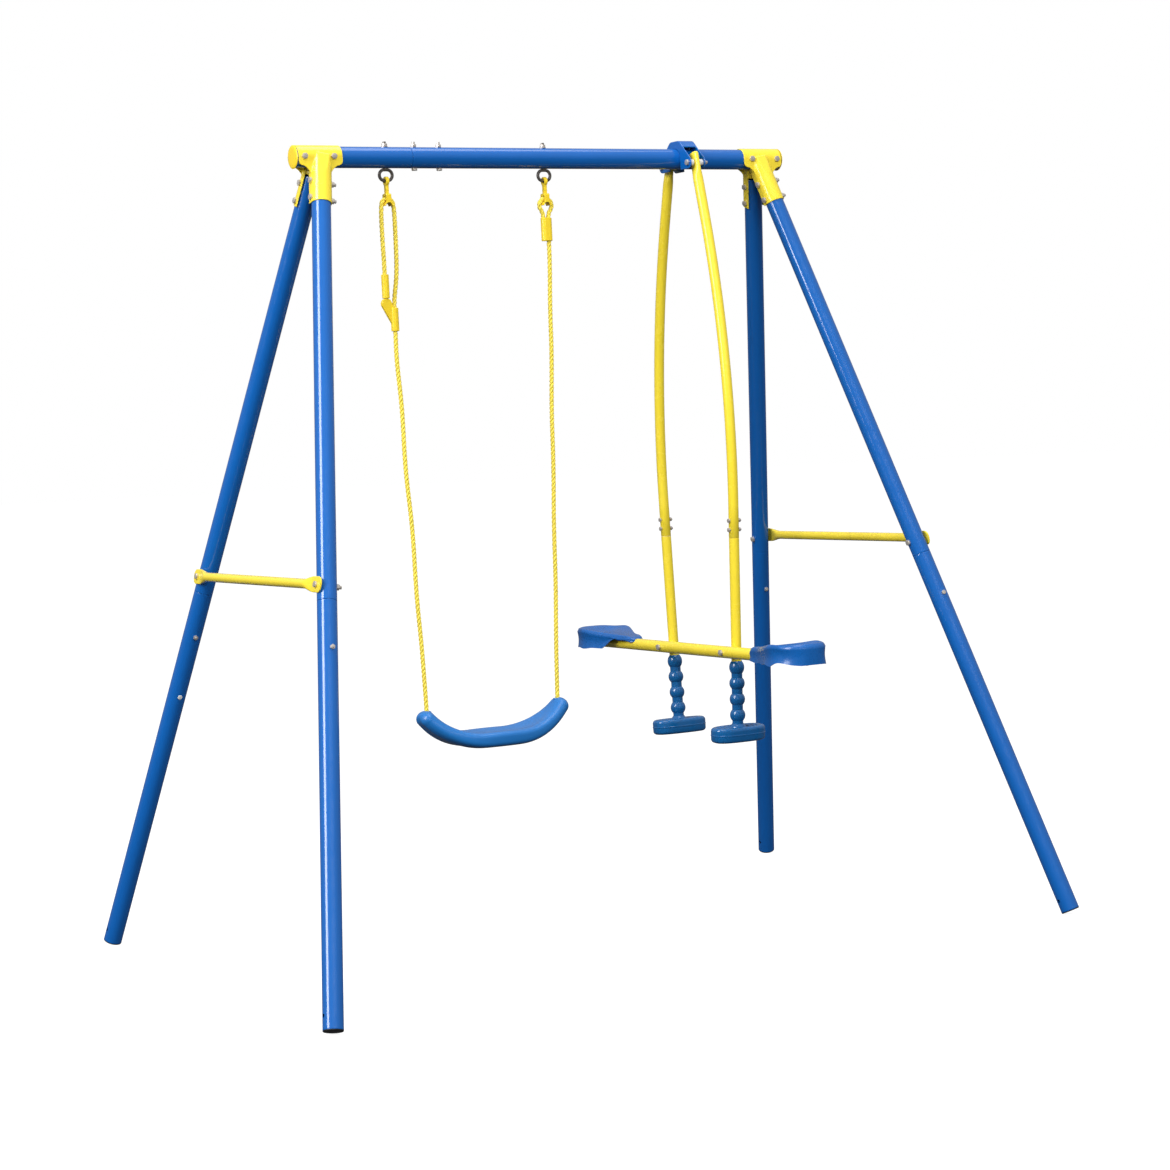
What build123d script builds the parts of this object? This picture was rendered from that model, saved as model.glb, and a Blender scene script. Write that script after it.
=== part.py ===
"""Garden swing set: an A-frame with a belt swing on ropes and a two-seat glider.

Frame: X runs along the top beam, Y from the front (-) to the back (+), Z up.
The origin is on the ground, under the middle of the beam. Millimetres.
"""
from build123d import *
from math import pi, radians, sqrt, tan
import os

os.makedirs("parts", exist_ok=True)

# ---- Driving dimensions: frame -------------------------------------------------
BEAM_HEIGHT = 1900.0      # beam axis above the ground
BEAM_OD = 50.0
BEAM_WALL = 1.5
BEAM_HALF = 670.0         # tube end from the middle of the beam
BEAM_JOINT_X = -372.0     # where the short section meets the long one
BEAM_SPIGOT = 110.0       # length of the swaged end inside the long section
SWAGE_GAP = 0.2           # radial clearance of a swaged end
CAP_FLANGE = 3.0
CAP_PLUG = 10.0

APEX_X = 605.0            # where a leg's axis reaches the beam's height
APEX_Y = 10.0
FOOT_X = 985.0            # where a leg's axis reaches the ground
FOOT_Y = 680.0
LEG_OD = 45.0
LEG_WALL = 1.2
LEG_TOP = 46.0            # distances down the leg, from the apex
LEG_JOINT = 1093.0
LEG_SPIGOT = 150.0
JOINT_SCREW_DOWN = 111.0
SPARE_HOLE_DOWN = 270.0   # plugged spare hole of the back left leg
PLUG_FLANGE = 2.5
PLUG_DEPTH = 15.0
PLUG_GAP = 0.1
ANCHOR_UP = 32.0          # ground-anchor hole above the leg's end
ANCHOR_R = 4.5

SHEET = 2.5               # pressed steel of the brackets
PLATE_OUT = 63.0          # bracket plate, outboard and inboard of the apex
PLATE_IN = 49.0
BRACKET_BOLT_OUT = 48.0
BRACKET_BOLT_IN = 26.0
SOCKET_GAP = 0.2
SOCKET_END = 122.0
SOCKET_FLANGE = 13.0      # straight flange behind the leg's axis
CLAMP_BOLTS = (66.0, 109.0)
PLATE_DROP = 22.0         # plate edge below the beam axis
FLARE_DROP = 54.0         # lowest point of the flares below the beam axis

CROSSBAR_DOWN = 1056.0
CROSSBAR_OD = 22.0
CROSSBAR_WALL = 1.2
CROSSBAR_TAB = 3.6        # thickness of the pressed end
CROSSBAR_TAB_WIDE = 36.0
CROSSBAR_TAB_LONG = 30.0
CROSSBAR_TAPER = 48.0

# ---- Driving dimensions: fasteners ---------------------------------------------
M8 = 8.0
M6 = 6.0
HOLE_GAP = 0.15           # radial clearance of a bolt in a drilled hole
NUT_GAP = 0.05
PIVOT_GAP = 0.05          # running clearance of a pivot
FACE_GAP = 0.3            # running clearance between two faces
HEX_M8 = 13.0
HEX_M6 = 10.0
HEAD_M8 = 5.3
HEAD_M6 = 4.0
NUT_M8 = 6.5
NUT_M6 = 5.0
BOLT_TAIL = 6.0

# ---- Driving dimensions: swing -------------------------------------------------
HOOK_LEFT_X = -435.0
HOOK_RIGHT_X = -9.0
EYE_WIRE = 7.5
EYE_WIDE = 41.0
EYE_HIGH = 33.0
HOOK_THICK = 8.0
HOOK_EYE_R = 11.0
HOOK_HOLE_R = 5.5
LOOP_HEIGHT = 1786.0      # centre of the rope's turn over the hook
LOOP_R = 17.0
SADDLE_R = 11.3
SADDLE_WALL = 3.3
WINDOW_HALF = 6.5
WINDOW_TOP = 23.0
CHEEK_HALF = 12.0
ROPE_D = 10.0
ROPE_EXIT_Z = 580.0
SEAT_X = 0.5 * (HOOK_LEFT_X + HOOK_RIGHT_X)
ROPE_HALF = 179.0         # rope exits from the seat's middle
SLEEVE_WALL = 3.4
SLEEVE_GAP = 0.6
SLEEVE_LONG = 56.0
ADJUSTER_BARREL_R = 9.5
ADJUSTER_BORE_R = 6.2
ADJUSTER_THICK = 9.0

SEAT_THICK = 42.0
SEAT_MID_Z = 503.0
SEAT_TIP_Z = 562.0
SEAT_TIP_HALF = 182.0
SEAT_WIDE = 140.0
SEAT_END_WIDE = 70.0
SEAT_DISH = 15.0
SEAT_RIM = 17.0

# ---- Driving dimensions: glider ------------------------------------------------
GLIDER_X = 388.0
PIVOT_Y = 62.0            # top pivots
PIVOT_Z = 1886.0
BAR_Y = 150.0             # bottom pivots
BAR_Z = 668.0
ELBOW_Y = 183.3           # where the hanger's two straight runs would meet
ELBOW_Z = 1400.7
HANGER_BEND = 2500.0
HANGER_OD = 25.4
HANGER_WALL = 1.5
HANGER_SPLIT = 283.3      # section joint above the bar pivot
HANGER_SPIGOT = 60.0
HANGER_BOLTS = (20.0, 43.0)
HANGER_TAB = 15.0
HANGER_TAB_WIDE = 32.0
HANGER_TAB_UP = 26.0
HANGER_TAB_DOWN = 14.0
HANGER_TAPER = 30.0
HANGER_END = 183.0
BAR_OD = 30.0
BAR_WALL = 1.5
BAR_GAP = 2.0             # between bar and hanger, filled by a washer
BAR_HALF = 508.0
SADDLE_GAP = 38.0         # between the saddle's flanges
SADDLE_EAR_R = 15.0
SADDLE_CROWN_Y = 14.0
SADDLE_CROWN_Z = 1926.0
SADDLE_CROWN_R = 18.0
SADDLE_WEB_HALF = 38.0
BUSH_OD = 16.0

BEAD_R = 19.25
BEAD_PITCH = 40.0
BEAD_FIRST = 40.0         # first bead below the bar pivot
BEAD_COUNT = 4
PEDAL_CORE_R = 15.5
PEDAL_BORE_GAP = 0.15
PEDAL_PLATE_DOWN = 206.0
PEDAL_LONG = 148.0
PEDAL_WIDE = 74.0
PEDAL_THICK = 38.0

GSEAT_NOSE = 278.0        # nose and back of a glider seat from the middle
GSEAT_BACK = 534.0
GSEAT_WIDE = 146.0
GSEAT_NOSE_WIDE = 56.0
GSEAT_WALL = 4.0
GSEAT_TOP = 47.0          # above the bar axis
GSEAT_SKIRT = 9.0         # below the bar axis
GSEAT_DECK = 6.0
GSEAT_DISH_R = 150.0
SEAT_PLATE_LONG = 80.0
SEAT_PLATE_WIDE = 40.0
SEAT_PLATE_THICK = 3.0
SEAT_PLATE_Y = 484.0
SEAT_BOLT_HALF = 25.0

# ---- Derived sizes -------------------------------------------------------------
BEAM_R = BEAM_OD / 2
LEG_R = LEG_OD / 2
SADDLE_OUT_R = BEAM_R + SHEET
SOCKET_R = LEG_R + SOCKET_GAP
SOCKET_OUT_R = SOCKET_R + SHEET
ROPE_R = ROPE_D / 2
HANGER_R = HANGER_OD / 2
BAR_R = BAR_OD / 2
BAR_X = GLIDER_X - HANGER_R - BAR_GAP - BAR_R
EYE_CENTRE_Z = BEAM_HEIGHT - BEAM_R - EYE_HIGH / 2
HOOK_PIVOT_Z = EYE_CENTRE_Z - EYE_HIGH / 2 + EYE_WIRE / 2
SLEEVE_R = ROPE_R + SLEEVE_GAP + SLEEVE_WALL
SIDES = {"left": -1, "right": 1}
ENDS = {"front": -1, "back": 1}


def keep(builder, label):
    """Label a finished piece and write its STEP file."""
    builder.part.label = label
    export_step(builder.part, f"parts/{label}.step")


# ---- Leg geometry --------------------------------------------------------------
def leg_apex(side, end):
    return Vector(side * APEX_X, end * APEX_Y, BEAM_HEIGHT)


def leg_run(side, end):
    """Vector from a leg's apex to where its axis meets the ground."""
    return Vector(side * FOOT_X, end * FOOT_Y, 0) - leg_apex(side, end)


def leg_down(side, end):
    return leg_run(side, end).normalized()


def outboard(side, end):
    """Unit vector square to the leg and to Y, pointing away from the middle."""
    return leg_down(side, end).cross(Vector(0, 1, 0)).normalized() * side


def leg_plane(side, end, distance):
    """Plane square to a leg: local Z runs down it, local X points outboard."""
    origin = leg_apex(side, end) + leg_down(side, end) * distance
    return Plane(origin=origin, x_dir=outboard(side, end), z_dir=leg_down(side, end))


def across_leg(side, end, distance):
    """Plane through a leg's axis with local Z along +X, square to the leg."""
    origin = leg_apex(side, end) + leg_down(side, end) * distance
    return Plane(origin=origin, x_dir=leg_down(side, end), z_dir=outboard(side, end) * side)


def through_leg(side, end, distance, facing):
    """Plane through a leg's axis with local Z along the leg's own Y, towards facing."""
    along_y = leg_down(side, end).cross(outboard(side, end))
    along_y = along_y * (facing if along_y.Y > 0 else -facing)
    origin = leg_apex(side, end) + leg_down(side, end) * distance
    return Plane(origin=origin, x_dir=leg_down(side, end), z_dir=along_y)


def leg_end():
    """Distance down the leg at which its square end just touches the ground."""
    down = leg_down(1, 1)
    lean = sqrt(1 - down.Z ** 2) / abs(down.Z)
    return leg_run(1, 1).length - LEG_R * lean


LEG_END = leg_end()
ANCHOR_DOWN = LEG_END - ANCHOR_UP


# ---- Fasteners -----------------------------------------------------------------
def hex_bolt(plane, grip, size, across, head, tail=BOLT_TAIL):
    """Hexagon bolt: its head's underside lies on the plane, the shank runs along local Z."""
    with BuildPart() as bolt:
        with BuildSketch(plane.offset(-head)):
            RegularPolygon(radius=across / 2, side_count=6, major_radius=False)
        extrude(amount=head)
        with BuildSketch(plane):
            Circle(size / 2)
        extrude(amount=grip + tail)
    return bolt.part


def hex_nut(plane, size, across, height):
    """Hexagon nut whose lower face lies on the plane."""
    with BuildPart() as nut:
        with BuildSketch(plane):
            RegularPolygon(radius=across / 2, side_count=6, major_radius=False)
            Circle(size / 2 + NUT_GAP, mode=Mode.SUBTRACT)
        extrude(amount=height)
    return nut.part


def bolt_and_nut_m8(plane, grip):
    bolt = hex_bolt(plane, grip, M8, HEX_M8, HEAD_M8, NUT_M8 + BOLT_TAIL)
    return [bolt, hex_nut(plane.offset(grip), M8, HEX_M8, NUT_M8)]


def bolt_and_nut_m6(plane, grip):
    bolt = hex_bolt(plane, grip, M6, HEX_M6, HEAD_M6, NUT_M6 + BOLT_TAIL / 2)
    return [bolt, hex_nut(plane.offset(grip), M6, HEX_M6, NUT_M6)]


def keep_group(pieces, label):
    """Write loose pieces that share one node."""
    with BuildPart() as group:
        for piece in pieces:
            add(piece)
    keep(group, label)


def drill(plane, radius, reach):
    """Cut a hole centred on a plane, reaching the same distance both ways."""
    with BuildSketch(plane) as hole:
        Circle(radius)
    extrude(hole.sketch, amount=reach, both=True, mode=Mode.SUBTRACT)


# ---- Beam ----------------------------------------------------------------------
def beam_plane(x):
    """Plane square to the beam at x, centred on its axis, local X along Y."""
    return Plane(origin=(x, 0, BEAM_HEIGHT), x_dir=(0, 1, 0), z_dir=(1, 0, 0))


def upright(x):
    """Plane through the beam's axis at x with local Z up."""
    return Plane(origin=(x, 0, BEAM_HEIGHT), x_dir=(1, 0, 0), z_dir=(0, 0, 1))


def level(x):
    """Plane through the beam's axis at x with local Z towards the back."""
    return Plane(origin=(x, 0, BEAM_HEIGHT), x_dir=(1, 0, 0), z_dir=(0, 1, 0))


BEAM_JOINT_BOLTS = (BEAM_JOINT_X + 13.0, BEAM_JOINT_X + 79.0)
BRACKET_BOLT_X = {
    "left": (-APEX_X - BRACKET_BOLT_OUT, -APEX_X + BRACKET_BOLT_IN),
    "right": (APEX_X - BRACKET_BOLT_IN, APEX_X + BRACKET_BOLT_OUT),
}
SPIGOT_R = BEAM_R - BEAM_WALL - SWAGE_GAP


def ring(outer, wall):
    Circle(outer)
    Circle(outer - wall, mode=Mode.SUBTRACT)


def build_beam():
    with BuildPart() as short_section:
        with BuildSketch(beam_plane(-BEAM_HALF)):
            ring(BEAM_R, BEAM_WALL)
        extrude(amount=BEAM_HALF + BEAM_JOINT_X)
        with BuildSketch(beam_plane(BEAM_JOINT_X - 2 * BEAM_WALL)):
            Circle(BEAM_R - BEAM_WALL / 2)
            Circle(SPIGOT_R - BEAM_WALL, mode=Mode.SUBTRACT)
        extrude(amount=2 * BEAM_WALL)
        with BuildSketch(beam_plane(BEAM_JOINT_X)):
            ring(SPIGOT_R, BEAM_WALL)
        extrude(amount=BEAM_SPIGOT)
        for x in BRACKET_BOLT_X["left"]:
            drill(level(x), M8 / 2 + HOLE_GAP, BEAM_OD)
        for x in (HOOK_LEFT_X,) + BEAM_JOINT_BOLTS:
            drill(upright(x), M8 / 2 + HOLE_GAP, BEAM_OD)
    keep(short_section, "beam_short_section")

    with BuildPart() as long_section:
        with BuildSketch(beam_plane(BEAM_JOINT_X)):
            ring(BEAM_R, BEAM_WALL)
        extrude(amount=BEAM_HALF - BEAM_JOINT_X)
        for x in BRACKET_BOLT_X["right"]:
            drill(level(x), M8 / 2 + HOLE_GAP, BEAM_OD)
        for x in (HOOK_RIGHT_X,) + BEAM_JOINT_BOLTS:
            drill(upright(x), M8 / 2 + HOLE_GAP, BEAM_OD)
    keep(long_section, "beam_long_section")

    for name, side in SIDES.items():
        with BuildPart() as cap:
            with BuildSketch(beam_plane(side * BEAM_HALF)):
                Circle(SADDLE_OUT_R)
            extrude(amount=side * CAP_FLANGE)
            outer_face = cap.faces().sort_by(Axis.X)[0 if side < 0 else -1]
            fillet(outer_face.edges(), CAP_FLANGE * 0.6)
            with BuildSketch(beam_plane(side * BEAM_HALF)):
                ring(BEAM_R - BEAM_WALL - PLUG_GAP, 2 * BEAM_WALL)
            extrude(amount=-side * CAP_PLUG)
        keep(cap, f"beam_end_cap_{name}")

    joint = []
    for x in BEAM_JOINT_BOLTS:
        joint += bolt_and_nut_m8(upright(x).offset(-BEAM_R), BEAM_OD)
    keep_group(joint, "beam_joint_bolts")


# ---- Brackets ------------------------------------------------------------------
def build_bracket(side_name, end_name):
    side = SIDES[side_name]
    end = ENDS[end_name]
    inward = side * end
    low_x = -APEX_X - PLATE_OUT if side < 0 else APEX_X - PLATE_IN
    high_x = low_x + PLATE_OUT + PLATE_IN
    face_y = end * SADDLE_OUT_R
    lean = side * 8.0
    corner = 12.0
    with BuildPart() as bracket:
        # quarter tube lying on the beam, split from its twin at the top
        with BuildSketch(beam_plane(low_x)):
            Circle(SADDLE_OUT_R)
            with Locations((end * (SADDLE_OUT_R + FACE_GAP), 0)):
                Rectangle(2 * SADDLE_OUT_R, 2 * SADDLE_OUT_R, mode=Mode.INTERSECT)
            with Locations((0, SADDLE_OUT_R)):
                Rectangle(4 * SADDLE_OUT_R, 2 * SADDLE_OUT_R, mode=Mode.INTERSECT)
        extrude(amount=high_x - low_x)
        # flat front plate with rounded corners and flares into the socket
        with BuildSketch(Plane(origin=(0, face_y, BEAM_HEIGHT), x_dir=(1, 0, 0), z_dir=(0, -1, 0))):
            with BuildLine():
                low = -PLATE_DROP
                socket_low = side * APEX_X + lean - SOCKET_R
                socket_high = side * APEX_X + lean + SOCKET_R
                Line((low_x, 1), (high_x, 1))
                Line((high_x, 1), (high_x, low + corner))
                RadiusArc((high_x, low + corner), (high_x - corner, low), corner)
                ThreePointArc(
                    (high_x - corner, low),
                    (socket_high + 6, 0.6 * low - 0.4 * FLARE_DROP),
                    (socket_high, -FLARE_DROP),
                )
                Line((socket_high, -FLARE_DROP), (socket_low, -FLARE_DROP))
                ThreePointArc(
                    (socket_low, -FLARE_DROP),
                    (socket_low - 6, 0.6 * low - 0.4 * FLARE_DROP),
                    (low_x + corner, low),
                )
                RadiusArc((low_x + corner, low), (low_x, low + corner), corner)
                Line((low_x, low + corner), (low_x, 1))
            make_face()
        extrude(amount=end * SHEET)
        # socket around the outer half of the leg
        with BuildSketch(leg_plane(side, end, 0)):
            Circle(SOCKET_OUT_R)
            with Locations((0, inward * SOCKET_FLANGE / 2)):
                Rectangle(2 * SOCKET_OUT_R, SOCKET_FLANGE)
        extrude(amount=SOCKET_END)
        # slope from the plate down to the socket's front
        slope = Plane(
            origin=(side * APEX_X, face_y, BEAM_HEIGHT + 12),
            x_dir=(1, 0, 0),
            z_dir=(0, end * 0.91, 0.415),
        )
        with BuildSketch(slope):
            Rectangle(3 * SOCKET_OUT_R, 4 * SOCKET_OUT_R)
        extrude(amount=2 * LEG_OD, mode=Mode.SUBTRACT)
        # keep the two brackets of one end apart
        with BuildSketch(Plane(origin=(side * APEX_X, 0, BEAM_HEIGHT), x_dir=(1, 0, 0), z_dir=(0, -end, 0))):
            Rectangle(4 * LEG_OD, 8 * LEG_OD)
        extrude(amount=2 * LEG_OD, mode=Mode.SUBTRACT)
        # room for the beam and for the leg
        with BuildSketch(beam_plane(low_x - SHEET)):
            Circle(BEAM_R + SOCKET_GAP)
        extrude(amount=high_x - low_x + 2 * SHEET, mode=Mode.SUBTRACT)
        with BuildSketch(leg_plane(side, end, LEG_TOP - 2 * SHEET)):
            Circle(SOCKET_R)
            with Locations((0, inward * LEG_OD / 2)):
                Rectangle(2 * SOCKET_R, LEG_OD)
        extrude(amount=SOCKET_END, mode=Mode.SUBTRACT)
        for x in BRACKET_BOLT_X[side_name]:
            drill(level(x), M8 / 2 + HOLE_GAP, 2 * BEAM_OD)
        for distance in CLAMP_BOLTS:
            drill(across_leg(side, end, distance), M8 / 2 + HOLE_GAP, LEG_OD)
    keep(bracket, f"bracket_{end_name}_{side_name}")


def build_bracket_bolts():
    through_beam = []
    for places in BRACKET_BOLT_X.values():
        for x in places:
            through_beam += bolt_and_nut_m8(level(x).offset(-SADDLE_OUT_R), 2 * SADDLE_OUT_R)
    keep_group(through_beam, "bracket_beam_bolts")

    through_legs = []
    for side in SIDES.values():
        for end in ENDS.values():
            for distance in CLAMP_BOLTS:
                start = across_leg(side, end, distance).offset(-SOCKET_OUT_R)
                through_legs += bolt_and_nut_m8(start, 2 * SOCKET_OUT_R)
    keep_group(through_legs, "leg_clamp_bolts")


# ---- Legs ----------------------------------------------------------------------
LEG_SPIGOT_R = LEG_R - LEG_WALL - SWAGE_GAP


def build_leg(side_name, end_name):
    side = SIDES[side_name]
    end = ENDS[end_name]
    label = f"{end_name}_{side_name}"
    screw = through_leg(side, end, LEG_JOINT + JOINT_SCREW_DOWN, 1)
    with BuildPart() as upper:
        with BuildSketch(leg_plane(side, end, LEG_TOP)):
            ring(LEG_R, LEG_WALL)
        extrude(amount=LEG_JOINT - LEG_TOP)
        with BuildSketch(leg_plane(side, end, LEG_JOINT - 2 * LEG_WALL)):
            Circle(LEG_R - LEG_WALL / 2)
            Circle(LEG_SPIGOT_R - LEG_WALL, mode=Mode.SUBTRACT)
        extrude(amount=2 * LEG_WALL)
        with BuildSketch(leg_plane(side, end, LEG_JOINT)):
            ring(LEG_SPIGOT_R, LEG_WALL)
        extrude(amount=LEG_SPIGOT)
        for distance in CLAMP_BOLTS:
            drill(across_leg(side, end, distance), M8 / 2 + HOLE_GAP, LEG_OD)
        drill(crossbar_bolt(side, end), M8 / 2 + HOLE_GAP, LEG_OD)
        drill(screw, M6 / 2 + HOLE_GAP, LEG_OD)
    keep(upper, f"leg_upper_{label}")

    with BuildPart() as lower:
        with BuildSketch(leg_plane(side, end, LEG_JOINT)):
            ring(LEG_R, LEG_WALL)
        extrude(amount=LEG_END - PLUG_FLANGE - LEG_JOINT)
        drill(screw, M6 / 2 + HOLE_GAP, LEG_OD)
        drill(across_leg(side, end, ANCHOR_DOWN), ANCHOR_R, LEG_OD)
        if label == "back_left":
            with BuildSketch(spare_hole_plane()):
                Circle(M6 / 2 + HOLE_GAP)
            extrude(amount=2 * LEG_WALL, both=True, mode=Mode.SUBTRACT)
    keep(lower, f"leg_lower_{label}")

    with BuildPart() as plug:
        with BuildSketch(leg_plane(side, end, LEG_END - PLUG_FLANGE)):
            Circle(LEG_R)
        extrude(amount=PLUG_FLANGE)
        with BuildSketch(leg_plane(side, end, LEG_END - PLUG_FLANGE - PLUG_DEPTH)):
            ring(LEG_R - LEG_WALL - PLUG_GAP, 2 * LEG_WALL)
        extrude(amount=PLUG_DEPTH)
    keep(plug, f"foot_plug_{label}")


def spare_hole_plane():
    """Plane on the front surface of the back left leg, local Z towards the leg's axis."""
    side, end = SIDES["left"], ENDS["back"]
    return through_leg(side, end, LEG_JOINT + SPARE_HOLE_DOWN, 1).offset(-LEG_R)


def build_leg_joint_screws():
    """One M6 bolt holds each leg's joint; a snap plug fills the spare hole."""
    pieces = []
    for side_name, side in SIDES.items():
        for end_name, end in ENDS.items():
            facing = 1 if (side_name, end_name) == ("right", "front") else -1
            plane = through_leg(side, end, LEG_JOINT + JOINT_SCREW_DOWN, facing)
            pieces += bolt_and_nut_m6(plane.offset(-LEG_R), LEG_OD)
    keep_group(pieces, "leg_joint_bolts")

    with BuildPart() as plug:
        with BuildSketch(spare_hole_plane().offset(-1.5)):
            Circle(M6 - 0.5)
        extrude(amount=1.5)
        with BuildSketch(spare_hole_plane()):
            Circle(M6 / 2)
        extrude(amount=3 * LEG_WALL)
    keep(plug, "spare_hole_plug")


# ---- Crossbars -----------------------------------------------------------------
def crossbar_bolt(side, end):
    """Plane on a leg's axis with local Z along +X for the crossbar's bolt."""
    return across_leg(side, end, CROSSBAR_DOWN)


def build_crossbar(side_name):
    side = SIDES[side_name]
    front = crossbar_bolt(side, -1).origin
    back = crossbar_bolt(side, 1).origin
    out = outboard(side, 1)
    shift = out * (LEG_R + CROSSBAR_TAB / 2)
    middle = (front + back) * 0.5 + shift
    half = (back - front).length / 2
    tube_half = half - CROSSBAR_TAB_LONG / 2 - CROSSBAR_TAPER

    def section(distance, end):
        origin = middle + Vector(0, end * distance, 0)
        return Plane(origin=origin, x_dir=out, z_dir=(0, end, 0))

    with BuildPart() as bar:
        with BuildSketch(section(tube_half, -1)):
            ring(CROSSBAR_OD / 2, CROSSBAR_WALL)
        extrude(amount=-2 * tube_half)
        for end in ENDS.values():
            with BuildSketch(section(tube_half, end)):
                Circle(CROSSBAR_OD / 2)
            with BuildSketch(section(tube_half + CROSSBAR_TAPER, end)):
                Ellipse(CROSSBAR_TAB / 2, CROSSBAR_TAB_WIDE / 2)
            loft()
            flat = Plane(
                origin=middle + Vector(0, end * half, 0) - out * (CROSSBAR_TAB / 2),
                x_dir=(0, end, 0),
                z_dir=out,
            )
            with BuildSketch(flat):
                with Locations((-CROSSBAR_TAB_LONG / 4, 0)):
                    Rectangle(CROSSBAR_TAB_LONG / 2, CROSSBAR_TAB_WIDE)
                with Locations((CROSSBAR_TAB_LONG / 4, 0)):
                    RectangleRounded(CROSSBAR_TAB_LONG, CROSSBAR_TAB_WIDE, CROSSBAR_TAB_LONG * 0.4)
            extrude(amount=CROSSBAR_TAB)
            drill(crossbar_bolt(side, end), M8 / 2 + HOLE_GAP, 2 * LEG_OD)
    keep(bar, f"crossbar_{side_name}")


def build_crossbar_bolts():
    pieces = []
    grip = LEG_OD + CROSSBAR_TAB
    for side in SIDES.values():
        for end in ENDS.values():
            start = -LEG_R - CROSSBAR_TAB if side < 0 else -LEG_R
            pieces += bolt_and_nut_m8(crossbar_bolt(side, end).offset(start), grip)
    keep_group(pieces, "crossbar_bolts")


# ---- Swing: eye bolts and hooks ------------------------------------------------
def build_eye_bolts():
    nuts = []
    for name, x in (("left", HOOK_LEFT_X), ("right", HOOK_RIGHT_X)):
        half_wide = (EYE_WIDE - EYE_WIRE) / 2
        half_high = (EYE_HIGH - EYE_WIRE) / 2
        straight = half_wide - half_high
        with BuildPart() as eye:
            face = Plane(origin=(x, 0, EYE_CENTRE_Z), x_dir=(1, 0, 0), z_dir=(0, -1, 0))
            with BuildLine(face) as loop:
                Line((-straight, -half_high), (straight, -half_high))
                ThreePointArc((straight, -half_high), (half_wide, 0), (straight, half_high))
                Line((straight, half_high), (-straight, half_high))
                ThreePointArc((-straight, half_high), (-half_wide, 0), (-straight, -half_high))
            start = Plane(origin=loop.line @ 0, z_dir=loop.line % 0)
            with BuildSketch(start):
                Circle(EYE_WIRE / 2)
            sweep(path=loop.wires()[0])
            with BuildSketch(upright(x).offset(-BEAM_R - EYE_WIRE / 2)):
                Circle(M8 / 2 - PIVOT_GAP)
            extrude(amount=BEAM_OD + EYE_WIRE / 2 + NUT_M8 + BOLT_TAIL)
        keep(eye, f"eye_bolt_{name}")
        washer_top = upright(x).offset(BEAM_R)
        with BuildPart() as washer:
            with BuildSketch(washer_top):
                ring(M8, M8 / 2 - NUT_GAP)
            extrude(amount=1.6)
        nuts += [washer.part, hex_nut(washer_top.offset(1.6 + NUT_GAP), M8, HEX_M8, NUT_M8)]
    keep_group(nuts, "eye_bolt_nuts")


def build_hook(name, x):
    """Closed plastic hook: round eye on the eye bolt, arched window for the rope below."""
    eye_z = HOOK_PIVOT_Z - (HOOK_HOLE_R - EYE_WIRE / 2 - FACE_GAP - PIVOT_GAP)
    bridge = WINDOW_TOP + 6.0
    with BuildPart() as hook:
        side_view = Plane(origin=(x - HOOK_THICK / 2, 0, 0), x_dir=(0, 1, 0), z_dir=(1, 0, 0))
        with BuildSketch(side_view):
            with Locations((0, eye_z)):
                Circle(HOOK_EYE_R)
            with Locations((0, (eye_z + LOOP_HEIGHT + bridge) / 2)):
                Rectangle(HOOK_EYE_R, eye_z - LOOP_HEIGHT - bridge + 4)
        extrude(amount=HOOK_THICK)
        # window frame
        cheek_top = LOOP_HEIGHT + bridge
        cheek_low = LOOP_HEIGHT + SADDLE_R - SADDLE_WALL
        wide = HOOK_THICK + 5.0
        frame_view = Plane(origin=(x - wide / 2, 0, 0), x_dir=(0, 1, 0), z_dir=(1, 0, 0))
        with BuildSketch(frame_view):
            with Locations((0, (cheek_top + cheek_low) / 2)):
                RectangleRounded(2 * CHEEK_HALF, cheek_top - cheek_low, 4.0)
        extrude(amount=wide)
        # arch that carries the rope
        front_view = Plane(origin=(x, -CHEEK_HALF, LOOP_HEIGHT), x_dir=(1, 0, 0), z_dir=(0, 1, 0))
        with BuildSketch(front_view):
            ring(SADDLE_R, SADDLE_WALL)
            with Locations((0, -SADDLE_R)):
                Rectangle(2 * SADDLE_R, 2 * SADDLE_R, mode=Mode.INTERSECT)
        extrude(amount=2 * CHEEK_HALF)
        with BuildSketch(Plane(origin=(x - wide, 0, LOOP_HEIGHT), x_dir=(0, 1, 0), z_dir=(1, 0, 0))):
            with Locations((0, (SADDLE_R + WINDOW_TOP) / 2)):
                Rectangle(2 * WINDOW_HALF, WINDOW_TOP - SADDLE_R)
        extrude(amount=2 * wide, mode=Mode.SUBTRACT)
        with BuildSketch(Plane(origin=(x, -WINDOW_HALF, LOOP_HEIGHT), x_dir=(1, 0, 0), z_dir=(0, 1, 0))):
            Circle(WINDOW_TOP)
            Circle(SADDLE_R, mode=Mode.SUBTRACT)
        extrude(amount=2 * WINDOW_HALF, mode=Mode.SUBTRACT)
        drill(
            Plane(origin=(x, 0, eye_z), x_dir=(0, 1, 0), z_dir=(1, 0, 0)),
            HOOK_HOLE_R,
            HOOK_THICK,
        )
    keep(hook, f"swing_hook_{name}")


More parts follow.
